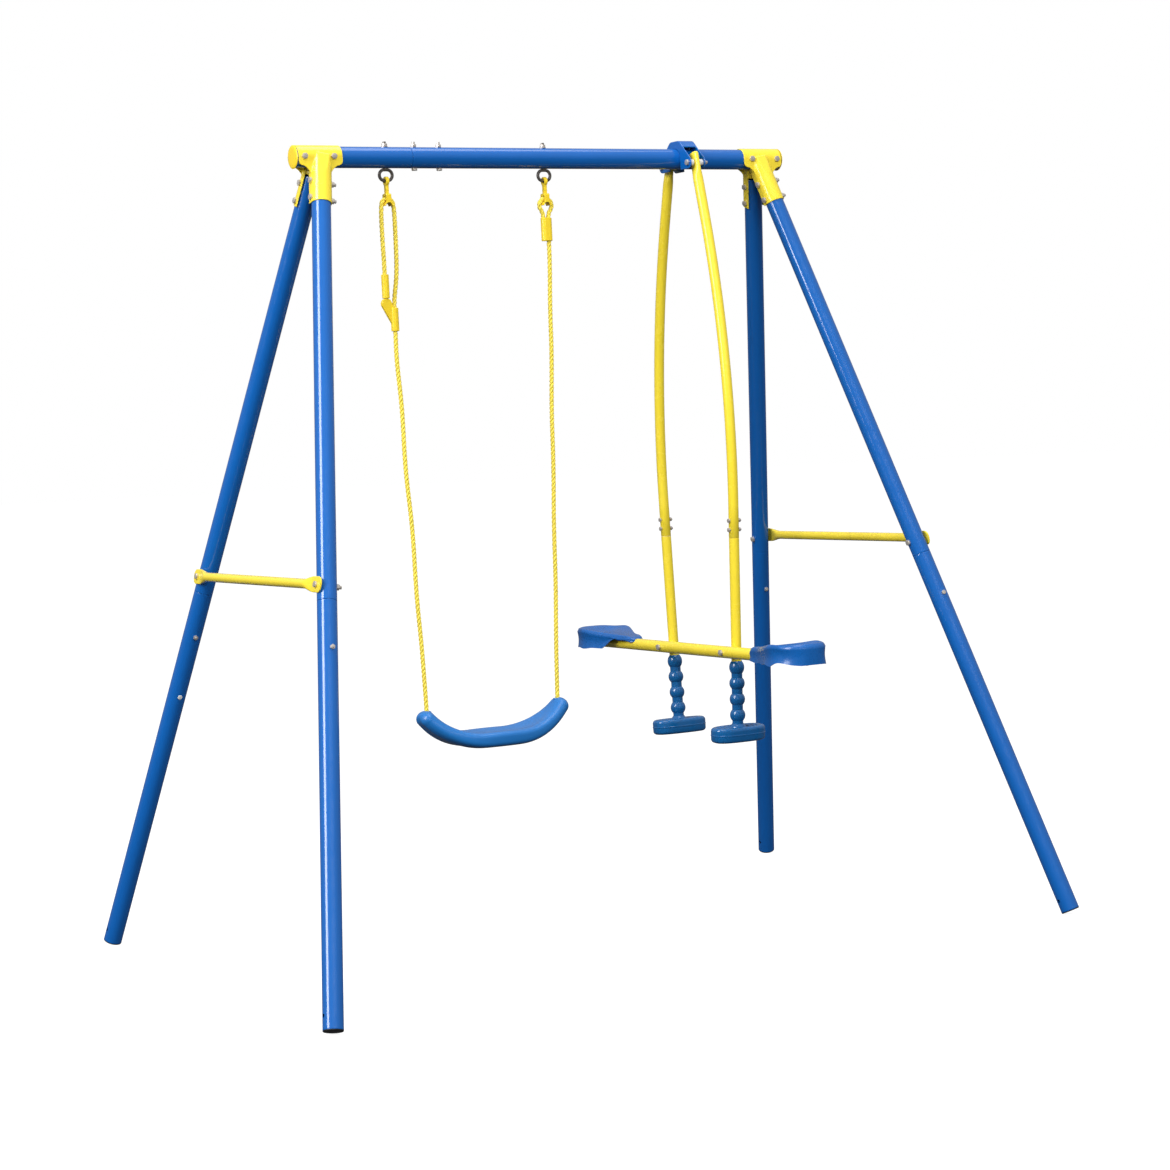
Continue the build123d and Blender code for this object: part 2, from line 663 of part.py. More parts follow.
# ---- Swing: ropes --------------------------------------------------------------
# Left rope: from the seat up through the adjuster, over the hook and back down
# into the sleeve. Right rope: up through the sleeve, over the hook and back in.
LEFT_ROPE = [
    (-401, 0, 580), (-403, 1, 715), (-413, -1, 865), (-412, 1, 1015), (-425, -1, 1165),
    (-423, 1, 1305), (-432, 0, 1420), (-431, 0, 1480), (-431.5, 0, 1560), (-419, 0, 1625),
    (-417.5, 0.5, 1720), (-418, 0, 1793), (-427.96, 0, 1803), (-442.04, 0, 1803),
    (-452, 0, 1793), (-452.5, 0.5, 1715), (-451, 0, 1645), (-451.5, 0, 1578),
]
RIGHT_ROPE = [
    (-43, 0, 580), (-40, -1, 715), (-31, 1, 860), (-30, -1, 1005), (-21, 1, 1150),
    (-20.5, -1, 1290), (-11, 1, 1420), (-10, 0, 1540), (-4.5, 0, 1640), (-4, 0, 1702),
    (-3.8, 0, 1765), (8, 0, 1780), (8, 0, 1793), (-1.96, 0, 1803), (-16.04, 0, 1803),
    (-26, 0, 1793), (-26, 0, 1780), (-14.2, 0, 1765), (-14, 0, 1702),
]
LEFT_SLEEVE_X = -451.0
LEFT_SLEEVE_Z = 1569.0
RIGHT_SLEEVE_Z = 1700.0
ADJUSTER_X = -431.0
ADJUSTER_LOW = 1491.0
ADJUSTER_HIGH = 1546.0
EAR_R = 13.0


def corner_radii(points):
    """Largest even arcs: 0.45 of the shorter run over the tangent of half the turn."""
    radii = []
    places = [Vector(*point) for point in points]
    for before, here, after in zip(places, places[1:], places[2:]):
        into = here - before
        onward = after - here
        turn = radians(into.get_angle(onward))
        limit = 0.45 * min(into.length, onward.length) / tan(turn / 2)
        over_hook = here.Z > LOOP_HEIGHT + LOOP_R - ROPE_D - 1
        radii.append(min(limit, LOOP_R) if over_hook else limit)
    return radii


def build_rope(name, points):
    """Rope swept along its route, with a round end where it leaves the seat."""
    radii = corner_radii(points)
    with BuildLine() as route:
        FilletPolyline(*points, radius=radii)
    path = route.wires()[0]
    with BuildPart() as rope:
        with BuildSketch(Plane(origin=path @ 0, z_dir=path % 0)):
            Circle(ROPE_R)
        sweep(path=path)
        swept = rope.part.volume
        with Locations(points[0]):
            Sphere(ROPE_R)
    ratio = swept / (pi * ROPE_R ** 2 * path.length)
    print(f"rope_{name}: length {path.length:.0f} mm, volume ratio {ratio:.4f}")
    print("  corner radii:", " ".join(f"{radius:.0f}" for radius in radii))
    keep(rope, f"rope_{name}")


def build_rope_fittings():
    bore = ROPE_R + SLEEVE_GAP
    left_base = Plane(origin=(LEFT_SLEEVE_X, 0, LEFT_SLEEVE_Z), x_dir=(1, 0, 0), z_dir=(0, 0, 1))
    with BuildPart() as left_sleeve:
        with BuildSketch(left_base):
            Circle(SLEEVE_R)
        extrude(amount=SLEEVE_LONG)
        with BuildSketch(left_base.offset(ROPE_R)):
            Circle(bore)
        extrude(amount=SLEEVE_LONG, mode=Mode.SUBTRACT)
    keep(left_sleeve, "rope_sleeve_left")

    right_base = Plane(origin=(HOOK_RIGHT_X, 0, RIGHT_SLEEVE_Z), x_dir=(1, 0, 0), z_dir=(0, 0, 1))
    with BuildPart() as right_sleeve:
        with BuildSketch(right_base):
            SlotOverall(2 * SLEEVE_R + ROPE_D, 2 * SLEEVE_R)
        extrude(amount=SLEEVE_LONG)
        with BuildSketch(right_base):
            SlotOverall(2 * bore + ROPE_D + 1, 2 * bore)
        extrude(amount=SLEEVE_LONG, mode=Mode.SUBTRACT)
    keep(right_sleeve, "rope_sleeve_right")

    with BuildPart() as adjuster:
        ear = Plane(origin=(0, ADJUSTER_THICK / 2, 0), x_dir=(1, 0, 0), z_dir=(0, -1, 0))
        with BuildSketch(ear):
            with Locations((LEFT_SLEEVE_X, LEFT_SLEEVE_Z - EAR_R)):
                Circle(EAR_R)
            with Locations((ADJUSTER_X, ADJUSTER_LOW + 2 * ADJUSTER_BARREL_R)):
                Circle(ADJUSTER_BARREL_R - 1.5)
            make_hull()
        extrude(amount=ADJUSTER_THICK)
        base = Plane(origin=(ADJUSTER_X, 0, ADJUSTER_LOW), x_dir=(1, 0, 0), z_dir=(0, 0, 1))
        with BuildSketch(base):
            Circle(ADJUSTER_BARREL_R)
        extrude(amount=ADJUSTER_HIGH - ADJUSTER_LOW)
        with BuildSketch(base):
            Circle(ADJUSTER_BORE_R)
        extrude(amount=2 * (ADJUSTER_HIGH - ADJUSTER_LOW), mode=Mode.SUBTRACT)
    keep(adjuster, "rope_adjuster")


# ---- Swing: seat ---------------------------------------------------------------
def build_swing_seat():
    half = SEAT_TIP_HALF
    side_view = Plane(origin=(SEAT_X, SEAT_WIDE / 2, 0), x_dir=(1, 0, 0), z_dir=(0, -1, 0))
    hole_r = ROPE_R + 2.0
    pocket_r = 13.0
    pocket_top = ROPE_EXIT_Z - 24.0
    with BuildPart() as seat:
        with BuildSketch(side_view):
            with BuildLine() as spine:
                FilletPolyline(
                    (-half, SEAT_TIP_Z), (-half + 62, SEAT_MID_Z), (half - 62, SEAT_MID_Z),
                    (half, SEAT_TIP_Z), radius=110,
                )
            trace(line_width=SEAT_THICK)
            with Locations((-half, SEAT_TIP_Z), (half, SEAT_TIP_Z)):
                Circle(SEAT_THICK / 2)
        extrude(amount=SEAT_WIDE)
        # boat-shaped outline from above
        with BuildSketch(Plane(origin=(SEAT_X, 0, 0), x_dir=(1, 0, 0), z_dir=(0, 0, 1))):
            with BuildLine():
                tip = half + SEAT_THICK
                wide, narrow = SEAT_WIDE / 2, SEAT_END_WIDE / 2
                ThreePointArc((-tip, narrow), (0, wide), (tip, narrow))
                Line((tip, narrow), (tip, -narrow))
                ThreePointArc((tip, -narrow), (0, -wide), (-tip, -narrow))
                Line((-tip, -narrow), (-tip, narrow))
            make_face()
        extrude(amount=2 * SEAT_TIP_Z, mode=Mode.INTERSECT)
        # shallow dish between the two rims
        with BuildSketch(Plane(origin=(SEAT_X, 0, SEAT_MID_Z + SEAT_THICK / 2 - SEAT_DISH))):
            RectangleRounded(2 * half - 2.2 * SEAT_THICK, SEAT_WIDE - 2 * SEAT_RIM, SEAT_RIM)
        extrude(amount=SEAT_THICK, mode=Mode.SUBTRACT)
        for x in (SEAT_X - ROPE_HALF, SEAT_X + ROPE_HALF):
            drill(Plane(origin=(x, 0, ROPE_EXIT_Z)), hole_r, ROPE_EXIT_Z - pocket_top)
            with BuildSketch(Plane(origin=(x, 0, pocket_top))):
                Circle(pocket_r)
            extrude(amount=-SEAT_THICK, mode=Mode.SUBTRACT)
    keep(seat, "swing_seat")

    with BuildPart() as knots:
        for x in (SEAT_X - ROPE_HALF, SEAT_X + ROPE_HALF):
            knot_r = pocket_r - 2.0
            knot_z = pocket_top - sqrt(knot_r ** 2 - hole_r ** 2) - NUT_GAP
            with BuildSketch(Plane(origin=(x, 0, knot_z), x_dir=(1, 0, 0), z_dir=(0, 1, 0))):
                Circle(knot_r)
                with Locations((-knot_r, 0)):
                    Rectangle(2 * knot_r, 2 * knot_r, mode=Mode.SUBTRACT)
            revolve(axis=Axis((x, 0, knot_z), (0, 0, 1)))
            with BuildSketch(Plane(origin=(x, 0, knot_z))):
                Circle(ROPE_R)
            extrude(amount=ROPE_EXIT_Z - ROPE_R - FACE_GAP - knot_z)
    keep(knots, "seat_rope_knots")


# ---- Glider --------------------------------------------------------------------
def hanger_pivot(end):
    return Vector(GLIDER_X, end * PIVOT_Y, PIVOT_Z)


def hanger_elbow(end):
    return Vector(GLIDER_X, end * ELBOW_Y, ELBOW_Z)


def bar_pivot(end):
    return Vector(GLIDER_X, end * BAR_Y, BAR_Z)


def top_plane(end, distance):
    """Plane square to a hanger's upper run, local X along +X, measured down from its pivot."""
    down = (hanger_elbow(end) - hanger_pivot(end)).normalized()
    return Plane(origin=hanger_pivot(end) + down * distance, x_dir=(1, 0, 0), z_dir=down)


def low_plane(end, distance):
    """The same for the lower run, measured down from the bar pivot."""
    down = (bar_pivot(end) - hanger_elbow(end)).normalized()
    return Plane(origin=bar_pivot(end) + down * distance, x_dir=(1, 0, 0), z_dir=down)


def sideways(point):
    """Plane at a point with local Z along +X."""
    return Plane(origin=point, x_dir=(0, 1, 0), z_dir=(1, 0, 0))


def build_saddle():
    """Pressed bracket straddling the beam, welded to it, with an ear for each hanger."""
    half_out = SADDLE_GAP / 2 + SHEET

    def outline(shrink):
        with Locations((PIVOT_Y, PIVOT_Z), (-PIVOT_Y, PIVOT_Z)):
            Circle(SADDLE_EAR_R - shrink)
        with Locations((SADDLE_CROWN_Y, SADDLE_CROWN_Z), (-SADDLE_CROWN_Y, SADDLE_CROWN_Z)):
            Circle(SADDLE_CROWN_R - shrink)
        make_hull()

    def side_plane(x):
        return Plane(origin=(x, 0, 0), x_dir=(0, 1, 0), z_dir=(1, 0, 0))

    with BuildPart() as saddle:
        with BuildSketch(side_plane(GLIDER_X - half_out)):
            outline(0)
        extrude(amount=2 * half_out)
        with BuildSketch(side_plane(GLIDER_X - SADDLE_GAP / 2)):
            outline(SHEET)
            for end in ENDS.values():
                reach = 2 * PIVOT_Y
                with Locations((end * (SADDLE_WEB_HALF + reach / 2), PIVOT_Z)):
                    Rectangle(reach, reach)
            with Locations((0, BEAM_HEIGHT - BEAM_R)):
                Rectangle(4 * PIVOT_Y, BEAM_OD)
        extrude(amount=SADDLE_GAP, mode=Mode.SUBTRACT)
        with BuildSketch(side_plane(GLIDER_X - half_out)):
            with Locations((0, BEAM_HEIGHT)):
                Circle(BEAM_R)
            with Locations((0, BEAM_HEIGHT - BEAM_R)):
                Rectangle(BEAM_OD, BEAM_OD)
        extrude(amount=2 * half_out, mode=Mode.SUBTRACT)
        for end in ENDS.values():
            drill(sideways(hanger_pivot(end)), M8 / 2 + HOLE_GAP, BEAM_OD)
    keep(saddle, "glider_saddle")

    bolts = []
    bushes = []
    for end in ENDS.values():
        start = sideways(hanger_pivot(end)).offset(-half_out)
        bolts += bolt_and_nut_m8(start, 2 * half_out)
        for face in (-SADDLE_GAP / 2, HANGER_TAB / 2 + FACE_GAP):
            with BuildPart() as bush:
                with BuildSketch(sideways(hanger_pivot(end)).offset(face)):
                    Circle(BUSH_OD / 2)
                    Circle(M8 / 2 + NUT_GAP, mode=Mode.SUBTRACT)
                extrude(amount=SADDLE_GAP / 2 - HANGER_TAB / 2 - FACE_GAP)
            bushes.append(bush.part)
    keep_group(bolts, "hanger_pivot_bolts")
    keep_group(bushes, "hanger_pivot_bushes")


def build_hanger(name, end):
    """Two-piece bent tube, pressed flat at its top, carrying a pedal at its foot."""
    tube_start = HANGER_TAB_DOWN + HANGER_TAPER
    split = low_plane(end, -HANGER_SPLIT)
    start = top_plane(end, tube_start)
    pivot_hole = sideways(hanger_pivot(end))
    with BuildPart() as upper:
        with BuildSketch(top_plane(end, -HANGER_TAB_UP)):
            Ellipse(HANGER_TAB / 2, HANGER_TAB_WIDE / 2)
        extrude(amount=HANGER_TAB_UP + HANGER_TAB_DOWN)
        fillet(upper.edges().group_by(Axis.Z)[-1], 3)
        with BuildSketch(top_plane(end, HANGER_TAB_DOWN)):
            Ellipse(HANGER_TAB / 2, HANGER_TAB_WIDE / 2)
        with BuildSketch(start):
            Circle(HANGER_R)
        loft()
        with BuildLine() as path:
            FilletPolyline(start.origin, hanger_elbow(end), split.origin, radius=HANGER_BEND)
        with BuildSketch(start):
            ring(HANGER_R, HANGER_WALL)
        sweep(path=path.wires()[0])
        drill(pivot_hole, M8 / 2 + PIVOT_GAP, HANGER_OD)
        for up in HANGER_BOLTS:
            drill(sideways(low_plane(end, -HANGER_SPLIT - up).origin), M6 / 2 + HOLE_GAP, HANGER_OD)
    keep(upper, f"hanger_upper_{name}")

    spigot_r = HANGER_R - HANGER_WALL - SWAGE_GAP
    with BuildPart() as lower:
        with BuildSketch(split):
            ring(HANGER_R, HANGER_WALL)
        extrude(amount=HANGER_SPLIT + HANGER_END)
        with BuildSketch(split):
            Circle(HANGER_R - HANGER_WALL / 2)
            Circle(spigot_r - HANGER_WALL, mode=Mode.SUBTRACT)
        extrude(amount=2 * HANGER_WALL)
        with BuildSketch(split):
            ring(spigot_r, HANGER_WALL)
        extrude(amount=-HANGER_SPIGOT)
        drill(sideways(bar_pivot(end)), M8 / 2 + PIVOT_GAP, HANGER_OD)
        for up in HANGER_BOLTS:
            drill(sideways(low_plane(end, -HANGER_SPLIT - up).origin), M6 / 2 + HOLE_GAP, HANGER_OD)
    keep(lower, f"hanger_lower_{name}")

    joint = []
    for up in HANGER_BOLTS:
        place = sideways(low_plane(end, -HANGER_SPLIT - up).origin).offset(-HANGER_R)
        joint += bolt_and_nut_m6(place, HANGER_OD)
    keep_group(joint, f"hanger_joint_bolts_{name}")

    # pedal: a column of beads over an oval foot plate, pushed up over the tube
    axis_plane = low_plane(end, 0)
    lengthwise = Plane(origin=axis_plane.origin, x_dir=(1, 0, 0), z_dir=axis_plane.y_dir)
    core_top = BEAD_FIRST - BEAD_R + 3.0
    with BuildPart() as foot_plate:
        with BuildSketch(low_plane(end, PEDAL_PLATE_DOWN - PEDAL_THICK / 2)):
            SlotOverall(PEDAL_LONG, PEDAL_WIDE)
        extrude(amount=PEDAL_THICK)
        rims = foot_plate.faces().sort_by(SortBy.AREA)[-2:].edges()
        fillet(rims, 7)
    with BuildPart() as pedal:
        with BuildSketch(lengthwise):
            for bead in range(BEAD_COUNT):
                with Locations((0, -BEAD_FIRST - bead * BEAD_PITCH)):
                    Circle(BEAD_R)
            with Locations((0, -(core_top + PEDAL_PLATE_DOWN) / 2)):
                Rectangle(2 * PEDAL_CORE_R, PEDAL_PLATE_DOWN - core_top)
            with Locations((-2 * BEAD_R, -PEDAL_PLATE_DOWN / 2)):
                Rectangle(4 * BEAD_R, 2 * PEDAL_PLATE_DOWN, mode=Mode.SUBTRACT)
        revolve(axis=Axis(axis_plane.origin, axis_plane.z_dir))
        add(foot_plate.part)
        with BuildSketch(axis_plane):
            Circle(HANGER_R + PEDAL_BORE_GAP)
        extrude(amount=HANGER_END + FACE_GAP, mode=Mode.SUBTRACT)
    keep(pedal, f"pedal_{name}")


def build_bar():
    """Level bar between the hangers, with a welded plate under each seat."""
    def bar_plane(y, z=BAR_Z):
        return Plane(origin=(BAR_X, y, z), x_dir=(1, 0, 0), z_dir=(0, 1, 0))

    plate_top = BAR_Z + BAR_R + SEAT_PLATE_THICK
    bolt_places = [
        (BAR_X + step, end * SEAT_PLATE_Y)
        for end in ENDS.values()
        for step in (-SEAT_BOLT_HALF, SEAT_BOLT_HALF)
    ]
    with BuildPart() as bar:
        with BuildSketch(bar_plane(-BAR_HALF)):
            Circle(BAR_R)
        extrude(amount=2 * BAR_HALF)
        for end in ENDS.values():
            with BuildSketch(Plane(origin=(BAR_X, end * SEAT_PLATE_Y, plate_top - 2 * SEAT_PLATE_THICK))):
                Rectangle(SEAT_PLATE_LONG, SEAT_PLATE_WIDE)
            extrude(amount=2 * SEAT_PLATE_THICK)
        with BuildSketch(bar_plane(-BAR_HALF)):
            Circle(BAR_R - BAR_WALL)
        extrude(amount=2 * BAR_HALF, mode=Mode.SUBTRACT)
        for end in ENDS.values():
            drill(sideways((BAR_X, end * BAR_Y, BAR_Z)), M8 / 2 + HOLE_GAP, BAR_OD)
        for x, y in bolt_places:
            drill(Plane(origin=(x, y, plate_top)), M6 / 2 + HOLE_GAP, BAR_R)
    keep(bar, "glider_bar")

    reach = BAR_OD + BAR_GAP + HANGER_OD + FACE_GAP
    face = HANGER_R + FACE_GAP
    near = sideways((BAR_X, -BAR_Y, BAR_Z)).offset(-BAR_R)
    far = sideways((BAR_X, BAR_Y, BAR_Z)).offset(-BAR_R)
    pieces = bolt_and_nut_m8(near, reach)
    pieces.append(hex_bolt(far, BAR_OD + BAR_GAP - FACE_GAP, M8, HEX_M8, HEAD_M8, 0))
    keep_group(pieces, "bar_pivot_bolts")

    washers = []
    for start in (near, far):
        with BuildPart() as washer:
            with BuildSketch(start.offset(BAR_OD + FACE_GAP)):
                ring(M8 + 2, M8 / 2 + 2 - NUT_GAP)
            extrude(amount=BAR_GAP - 2 * FACE_GAP)
        washers.append(washer.part)
    keep_group(washers, "bar_spacer_washers")

    # the far pivot's other half stays with its hanger
    with BuildPart() as stub:
        with BuildSketch(sideways(bar_pivot(1)).offset(-HANGER_R)):
            Circle(M8 / 2)
        extrude(amount=HANGER_OD + NUT_M8 + BOLT_TAIL)
        with BuildSketch(sideways(bar_pivot(1)).offset(face - FACE_GAP)):
            RegularPolygon(radius=HEX_M8 / 2, side_count=6, major_radius=False)
        extrude(amount=NUT_M8)
    keep(stub, "far_pivot_nut")

    bolts = []
    for x, y in bolt_places:
        under = Plane(origin=(x, y, plate_top - 2 * SEAT_PLATE_THICK))
        bolts.append(hex_bolt(under, 2 * SEAT_PLATE_THICK + GSEAT_DECK * 0.8, M6, HEX_M6, HEAD_M6, 0))
    keep_group(bolts, "glider_seat_bolts")


def build_glider_seat(name, end):
    """Moulded saddle seat: open underneath, its nose towards the middle of the bar."""
    top = BAR_Z + GSEAT_TOP
    low = BAR_Z - GSEAT_SKIRT
    deck = BAR_Z + BAR_R + SEAT_PLATE_THICK
    length = GSEAT_BACK - GSEAT_NOSE
    neck = 0.45 * length

    def outline(shrink):
        wide = GSEAT_WIDE / 2 - shrink
        nose = GSEAT_NOSE_WIDE / 2 - shrink
        front = GSEAT_NOSE + shrink
        back = GSEAT_BACK - shrink
        with BuildLine() as edge:
            Polyline(
                (-nose, end * front), (-wide, end * (GSEAT_NOSE + neck)), (-wide, end * back),
                (wide, end * back), (wide, end * (GSEAT_NOSE + neck)), (nose, end * front),
                close=True,
            )
        make_face(edge.edges())

    def level_plane(z):
        return Plane(origin=(BAR_X, 0, z), x_dir=(1, 0, 0), z_dir=(0, 0, 1))

    with BuildPart() as seat:
        with BuildSketch(level_plane(low)):
            outline(0)
        extrude(amount=top - low)
        fillet(seat.edges().filter_by(Axis.Z), 14)
        # trough for the rider, open at the nose, closed at the back
        trough = Plane(
            origin=(BAR_X, end * (GSEAT_NOSE - 1), deck + GSEAT_DECK + GSEAT_DISH_R),
            x_dir=(1, 0, 0),
            z_dir=(0, end, 0),
        )
        with BuildSketch(trough):
            Circle(GSEAT_DISH_R)
        extrude(amount=length - 22, mode=Mode.SUBTRACT)
        # hollow underside
        with BuildSketch(level_plane(low)):
            outline(GSEAT_WALL)
        extrude(amount=deck - low, mode=Mode.SUBTRACT)
        with BuildSketch(Plane(origin=(BAR_X, end * GSEAT_NOSE, BAR_Z), x_dir=(1, 0, 0), z_dir=(0, end, 0))):
            Circle(BAR_R + FACE_GAP)
            with Locations((0, -end * 0 - GSEAT_SKIRT)):
                Rectangle(2 * (BAR_R + FACE_GAP), 2 * GSEAT_SKIRT)
        extrude(amount=2 * GSEAT_WALL, both=True, mode=Mode.SUBTRACT)
        for step in (-SEAT_BOLT_HALF, SEAT_BOLT_HALF):
            with BuildSketch(Plane(origin=(BAR_X + step, end * SEAT_PLATE_Y, deck))):
                Circle(M6 / 2 + HOLE_GAP)
            extrude(amount=GSEAT_DECK * 0.85, mode=Mode.SUBTRACT)
    keep(seat, f"glider_seat_{name}")


# ---- Build everything ----------------------------------------------------------
build_beam()
for side_label in SIDES:
    for end_label in ENDS:
        build_bracket(side_label, end_label)
        build_leg(side_label, end_label)
    build_crossbar(side_label)
build_bracket_bolts()
build_leg_joint_screws()
build_crossbar_bolts()
build_eye_bolts()
build_hook("left", HOOK_LEFT_X)
build_hook("right", HOOK_RIGHT_X)
build_rope("left", LEFT_ROPE)
build_rope("right", RIGHT_ROPE)
build_rope_fittings()
build_swing_seat()
build_saddle()
build_hanger("near", -1)
build_hanger("far", 1)
build_bar()
build_glider_seat("near", -1)
build_glider_seat("far", 1)
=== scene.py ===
"""Finished looks of a garden swing set: belt swing and two-seat glider on an A-frame.

Sizes are in metres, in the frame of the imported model: X along the top beam,
Y from the front to the back, Z up from the ground.
"""

from __future__ import annotations

import logging
import math
from dataclasses import dataclass
from enum import Enum
from typing import Callable, Iterable, Sequence

import bmesh
import bpy
from mathutils import Matrix, Vector

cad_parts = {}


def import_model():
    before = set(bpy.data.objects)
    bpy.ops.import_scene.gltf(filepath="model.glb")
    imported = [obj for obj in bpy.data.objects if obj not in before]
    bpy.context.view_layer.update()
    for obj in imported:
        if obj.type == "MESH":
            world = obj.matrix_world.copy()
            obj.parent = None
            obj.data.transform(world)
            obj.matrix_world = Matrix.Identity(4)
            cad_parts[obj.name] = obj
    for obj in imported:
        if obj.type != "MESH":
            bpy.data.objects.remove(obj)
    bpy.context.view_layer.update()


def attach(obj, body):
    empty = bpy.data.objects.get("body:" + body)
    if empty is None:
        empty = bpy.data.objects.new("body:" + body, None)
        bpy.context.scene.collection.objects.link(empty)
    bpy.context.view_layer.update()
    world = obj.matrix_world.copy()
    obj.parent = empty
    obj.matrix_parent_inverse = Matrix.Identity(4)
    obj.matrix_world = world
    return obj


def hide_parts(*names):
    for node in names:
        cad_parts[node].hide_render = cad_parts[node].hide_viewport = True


log = logging.getLogger("swing_set")

Colour = tuple[float, float, float]
Ring = list[Vector]

FULL_TURN = 2 * math.pi
QUARTER_TURN = math.pi / 2
MERGE_DISTANCE = 1e-6
# Edges sharper than this many degrees stay sharp on a piece of each kind.
CREASE_TUBE = 35.0
CREASE_FASTENER = 30.0
CREASE_WELDED = 40.0
CREASE_PRESSED = 50.0
CREASE_MOULDED = 60.0
# Faces round a leg or the beam, and round a thinner tube.
LEG_FACES = 96
TUBE_FACES = 72
ALONG_X = Vector((1, 0, 0))
ALONG_Y = Vector((0, 1, 0))
ALONG_Z = Vector((0, 0, 1))


class Side(Enum):
    """Left or right end of the set, as the sign of X."""

    LEFT = -1
    RIGHT = 1


class End(Enum):
    """Front or back, as the sign of Y."""

    FRONT = -1
    BACK = 1


class Rider(Enum):
    """The glider's two places, as the sign of Y."""

    NEAR = -1
    FAR = 1


# ---------------------------------------------------------------- finishes


class Graph:
    """Small helper that adds and links the nodes of one tree."""

    def __init__(self, tree: bpy.types.NodeTree) -> None:
        """Keep the tree that the nodes go into."""
        self.tree = tree

    def add(self, kind: str, **settings: object) -> bpy.types.Node:
        """Add a node.

        Args:
            kind: Blender's name of the node type.
            settings: Attributes to set on it.

        Returns:
            The new node.
        """
        node = self.tree.nodes.new(kind)
        for key, value in settings.items():
            setattr(node, key, value)
        return node

    def link(self, source: bpy.types.NodeSocket, target: bpy.types.NodeSocket) -> None:
        """Join two sockets."""
        self.tree.links.new(source, target)

    def noise(
        self, coords: bpy.types.NodeSocket, scale: float, detail: float
    ) -> bpy.types.NodeSocket:
        """Return the value of a noise texture on some coordinates.

        Args:
            coords: Coordinates to read.
            scale: Size of the pattern; larger is finer.
            detail: How much finer noise is laid over it.

        Returns:
            Socket of the noise value.
        """
        node = self.add("ShaderNodeTexNoise")
        node.inputs["Scale"].default_value = scale
        node.inputs["Detail"].default_value = detail
        self.link(coords, node.inputs["Vector"])
        return node.outputs["Fac"]

    def spread(self, value: bpy.types.NodeSocket, low: float, high: float) -> bpy.types.NodeSocket:
        """Map a value from about 0.3-0.7 onto a range.

        Args:
            value: Value to map.
            low: Result at the low end.
            high: Result at the high end.

        Returns:
            Socket of the mapped value.
        """
        node = self.add("ShaderNodeMapRange")
        node.inputs["From Min"].default_value = 0.3
        node.inputs["From Max"].default_value = 0.7
        node.inputs["To Min"].default_value = low
        node.inputs["To Max"].default_value = high
        self.link(value, node.inputs["Value"])
        return node.outputs["Result"]

    def blend(
        self, factor: bpy.types.NodeSocket, first: Colour, second: Colour
    ) -> bpy.types.NodeSocket:
        """Mix two colours by a factor.

        Args:
            factor: 0 for the first colour, 1 for the second.
            first: First colour.
            second: Second colour.

        Returns:
            Socket of the mixed colour.
        """
        node = self.add("ShaderNodeMix", data_type="RGBA")
        node.inputs[6].default_value = (*first, 1.0)
        node.inputs[7].default_value = (*second, 1.0)
        self.link(factor, node.inputs[0])
        return node.outputs[2]

    def bump(
        self,
        height: bpy.types.NodeSocket,
        strength: float,
        distance: float,
        below: bpy.types.NodeSocket | None = None,
    ) -> bpy.types.NodeSocket:
        """Turn a height into a normal, over another normal if one is given.

        Args:
            height: Height to read.
            strength: How much of the relief shows.
            distance: Depth of the relief.
            below: Normal that it lies on, if there is one.

        Returns:
            Socket of the new normal.
        """
        node = self.add("ShaderNodeBump")
        node.inputs["Strength"].default_value = strength
        node.inputs["Distance"].default_value = distance
        self.link(height, node.inputs["Height"])
        if below is not None:
            self.link(below, node.inputs["Normal"])
        return node.outputs["Normal"]


@dataclass(frozen=True)
class Finish:
    """Common part of every finish: its name, material slot and main colours."""

    name: str
    slot: str
    colour: Colour
    shade: Colour

    def make(self) -> bpy.types.Material:
        """Build the material; each kind of finish has its own way."""
        raise NotImplementedError(self.name)

    def start(self) -> tuple[bpy.types.Material, Graph, bpy.types.Node, bpy.types.NodeSocket]:
        """Make the empty material.

        Returns:
            The material, its graph, its surface shader and object coordinates.
        """
        material = bpy.data.materials.new(self.name)
        material.use_nodes = True
        graph = Graph(material.node_tree)
        shader = material.node_tree.nodes["Principled BSDF"]
        coords = graph.add("ShaderNodeTexCoord").outputs["Object"]
        return material, graph, shader, coords


@dataclass(frozen=True)
class PowderCoat(Finish):
    """Baked powder coat on steel: glossy, faintly pebbled, lightly handled."""

    roughness: float = 0.2
    pebble: float = 0.035

    def make(self) -> bpy.types.Material:
        """Build the material.

        Returns:
            The material.
        """
        material, graph, shader, coords = self.start()
        cloud = graph.noise(coords, 7.0, 3.0)
        scuff = graph.noise(coords, 46.0, 6.0)
        grain = graph.noise(coords, 620.0, 2.0)
        peel = graph.noise(coords, 150.0, 1.0)
        graph.link(graph.blend(cloud, self.colour, self.shade), shader.inputs["Base Color"])
        rough = graph.spread(scuff, self.roughness - 0.05, self.roughness + 0.09)
        graph.link(rough, shader.inputs["Roughness"])
        soft = graph.bump(peel, self.pebble, 0.0004)
        graph.link(graph.bump(grain, self.pebble * 0.5, 0.0001, soft), shader.inputs["Normal"])
        shader.inputs["IOR"].default_value = 1.52
        shader.inputs["Coat Weight"].default_value = 0.4
        shader.inputs["Coat Roughness"].default_value = 0.05
        return material


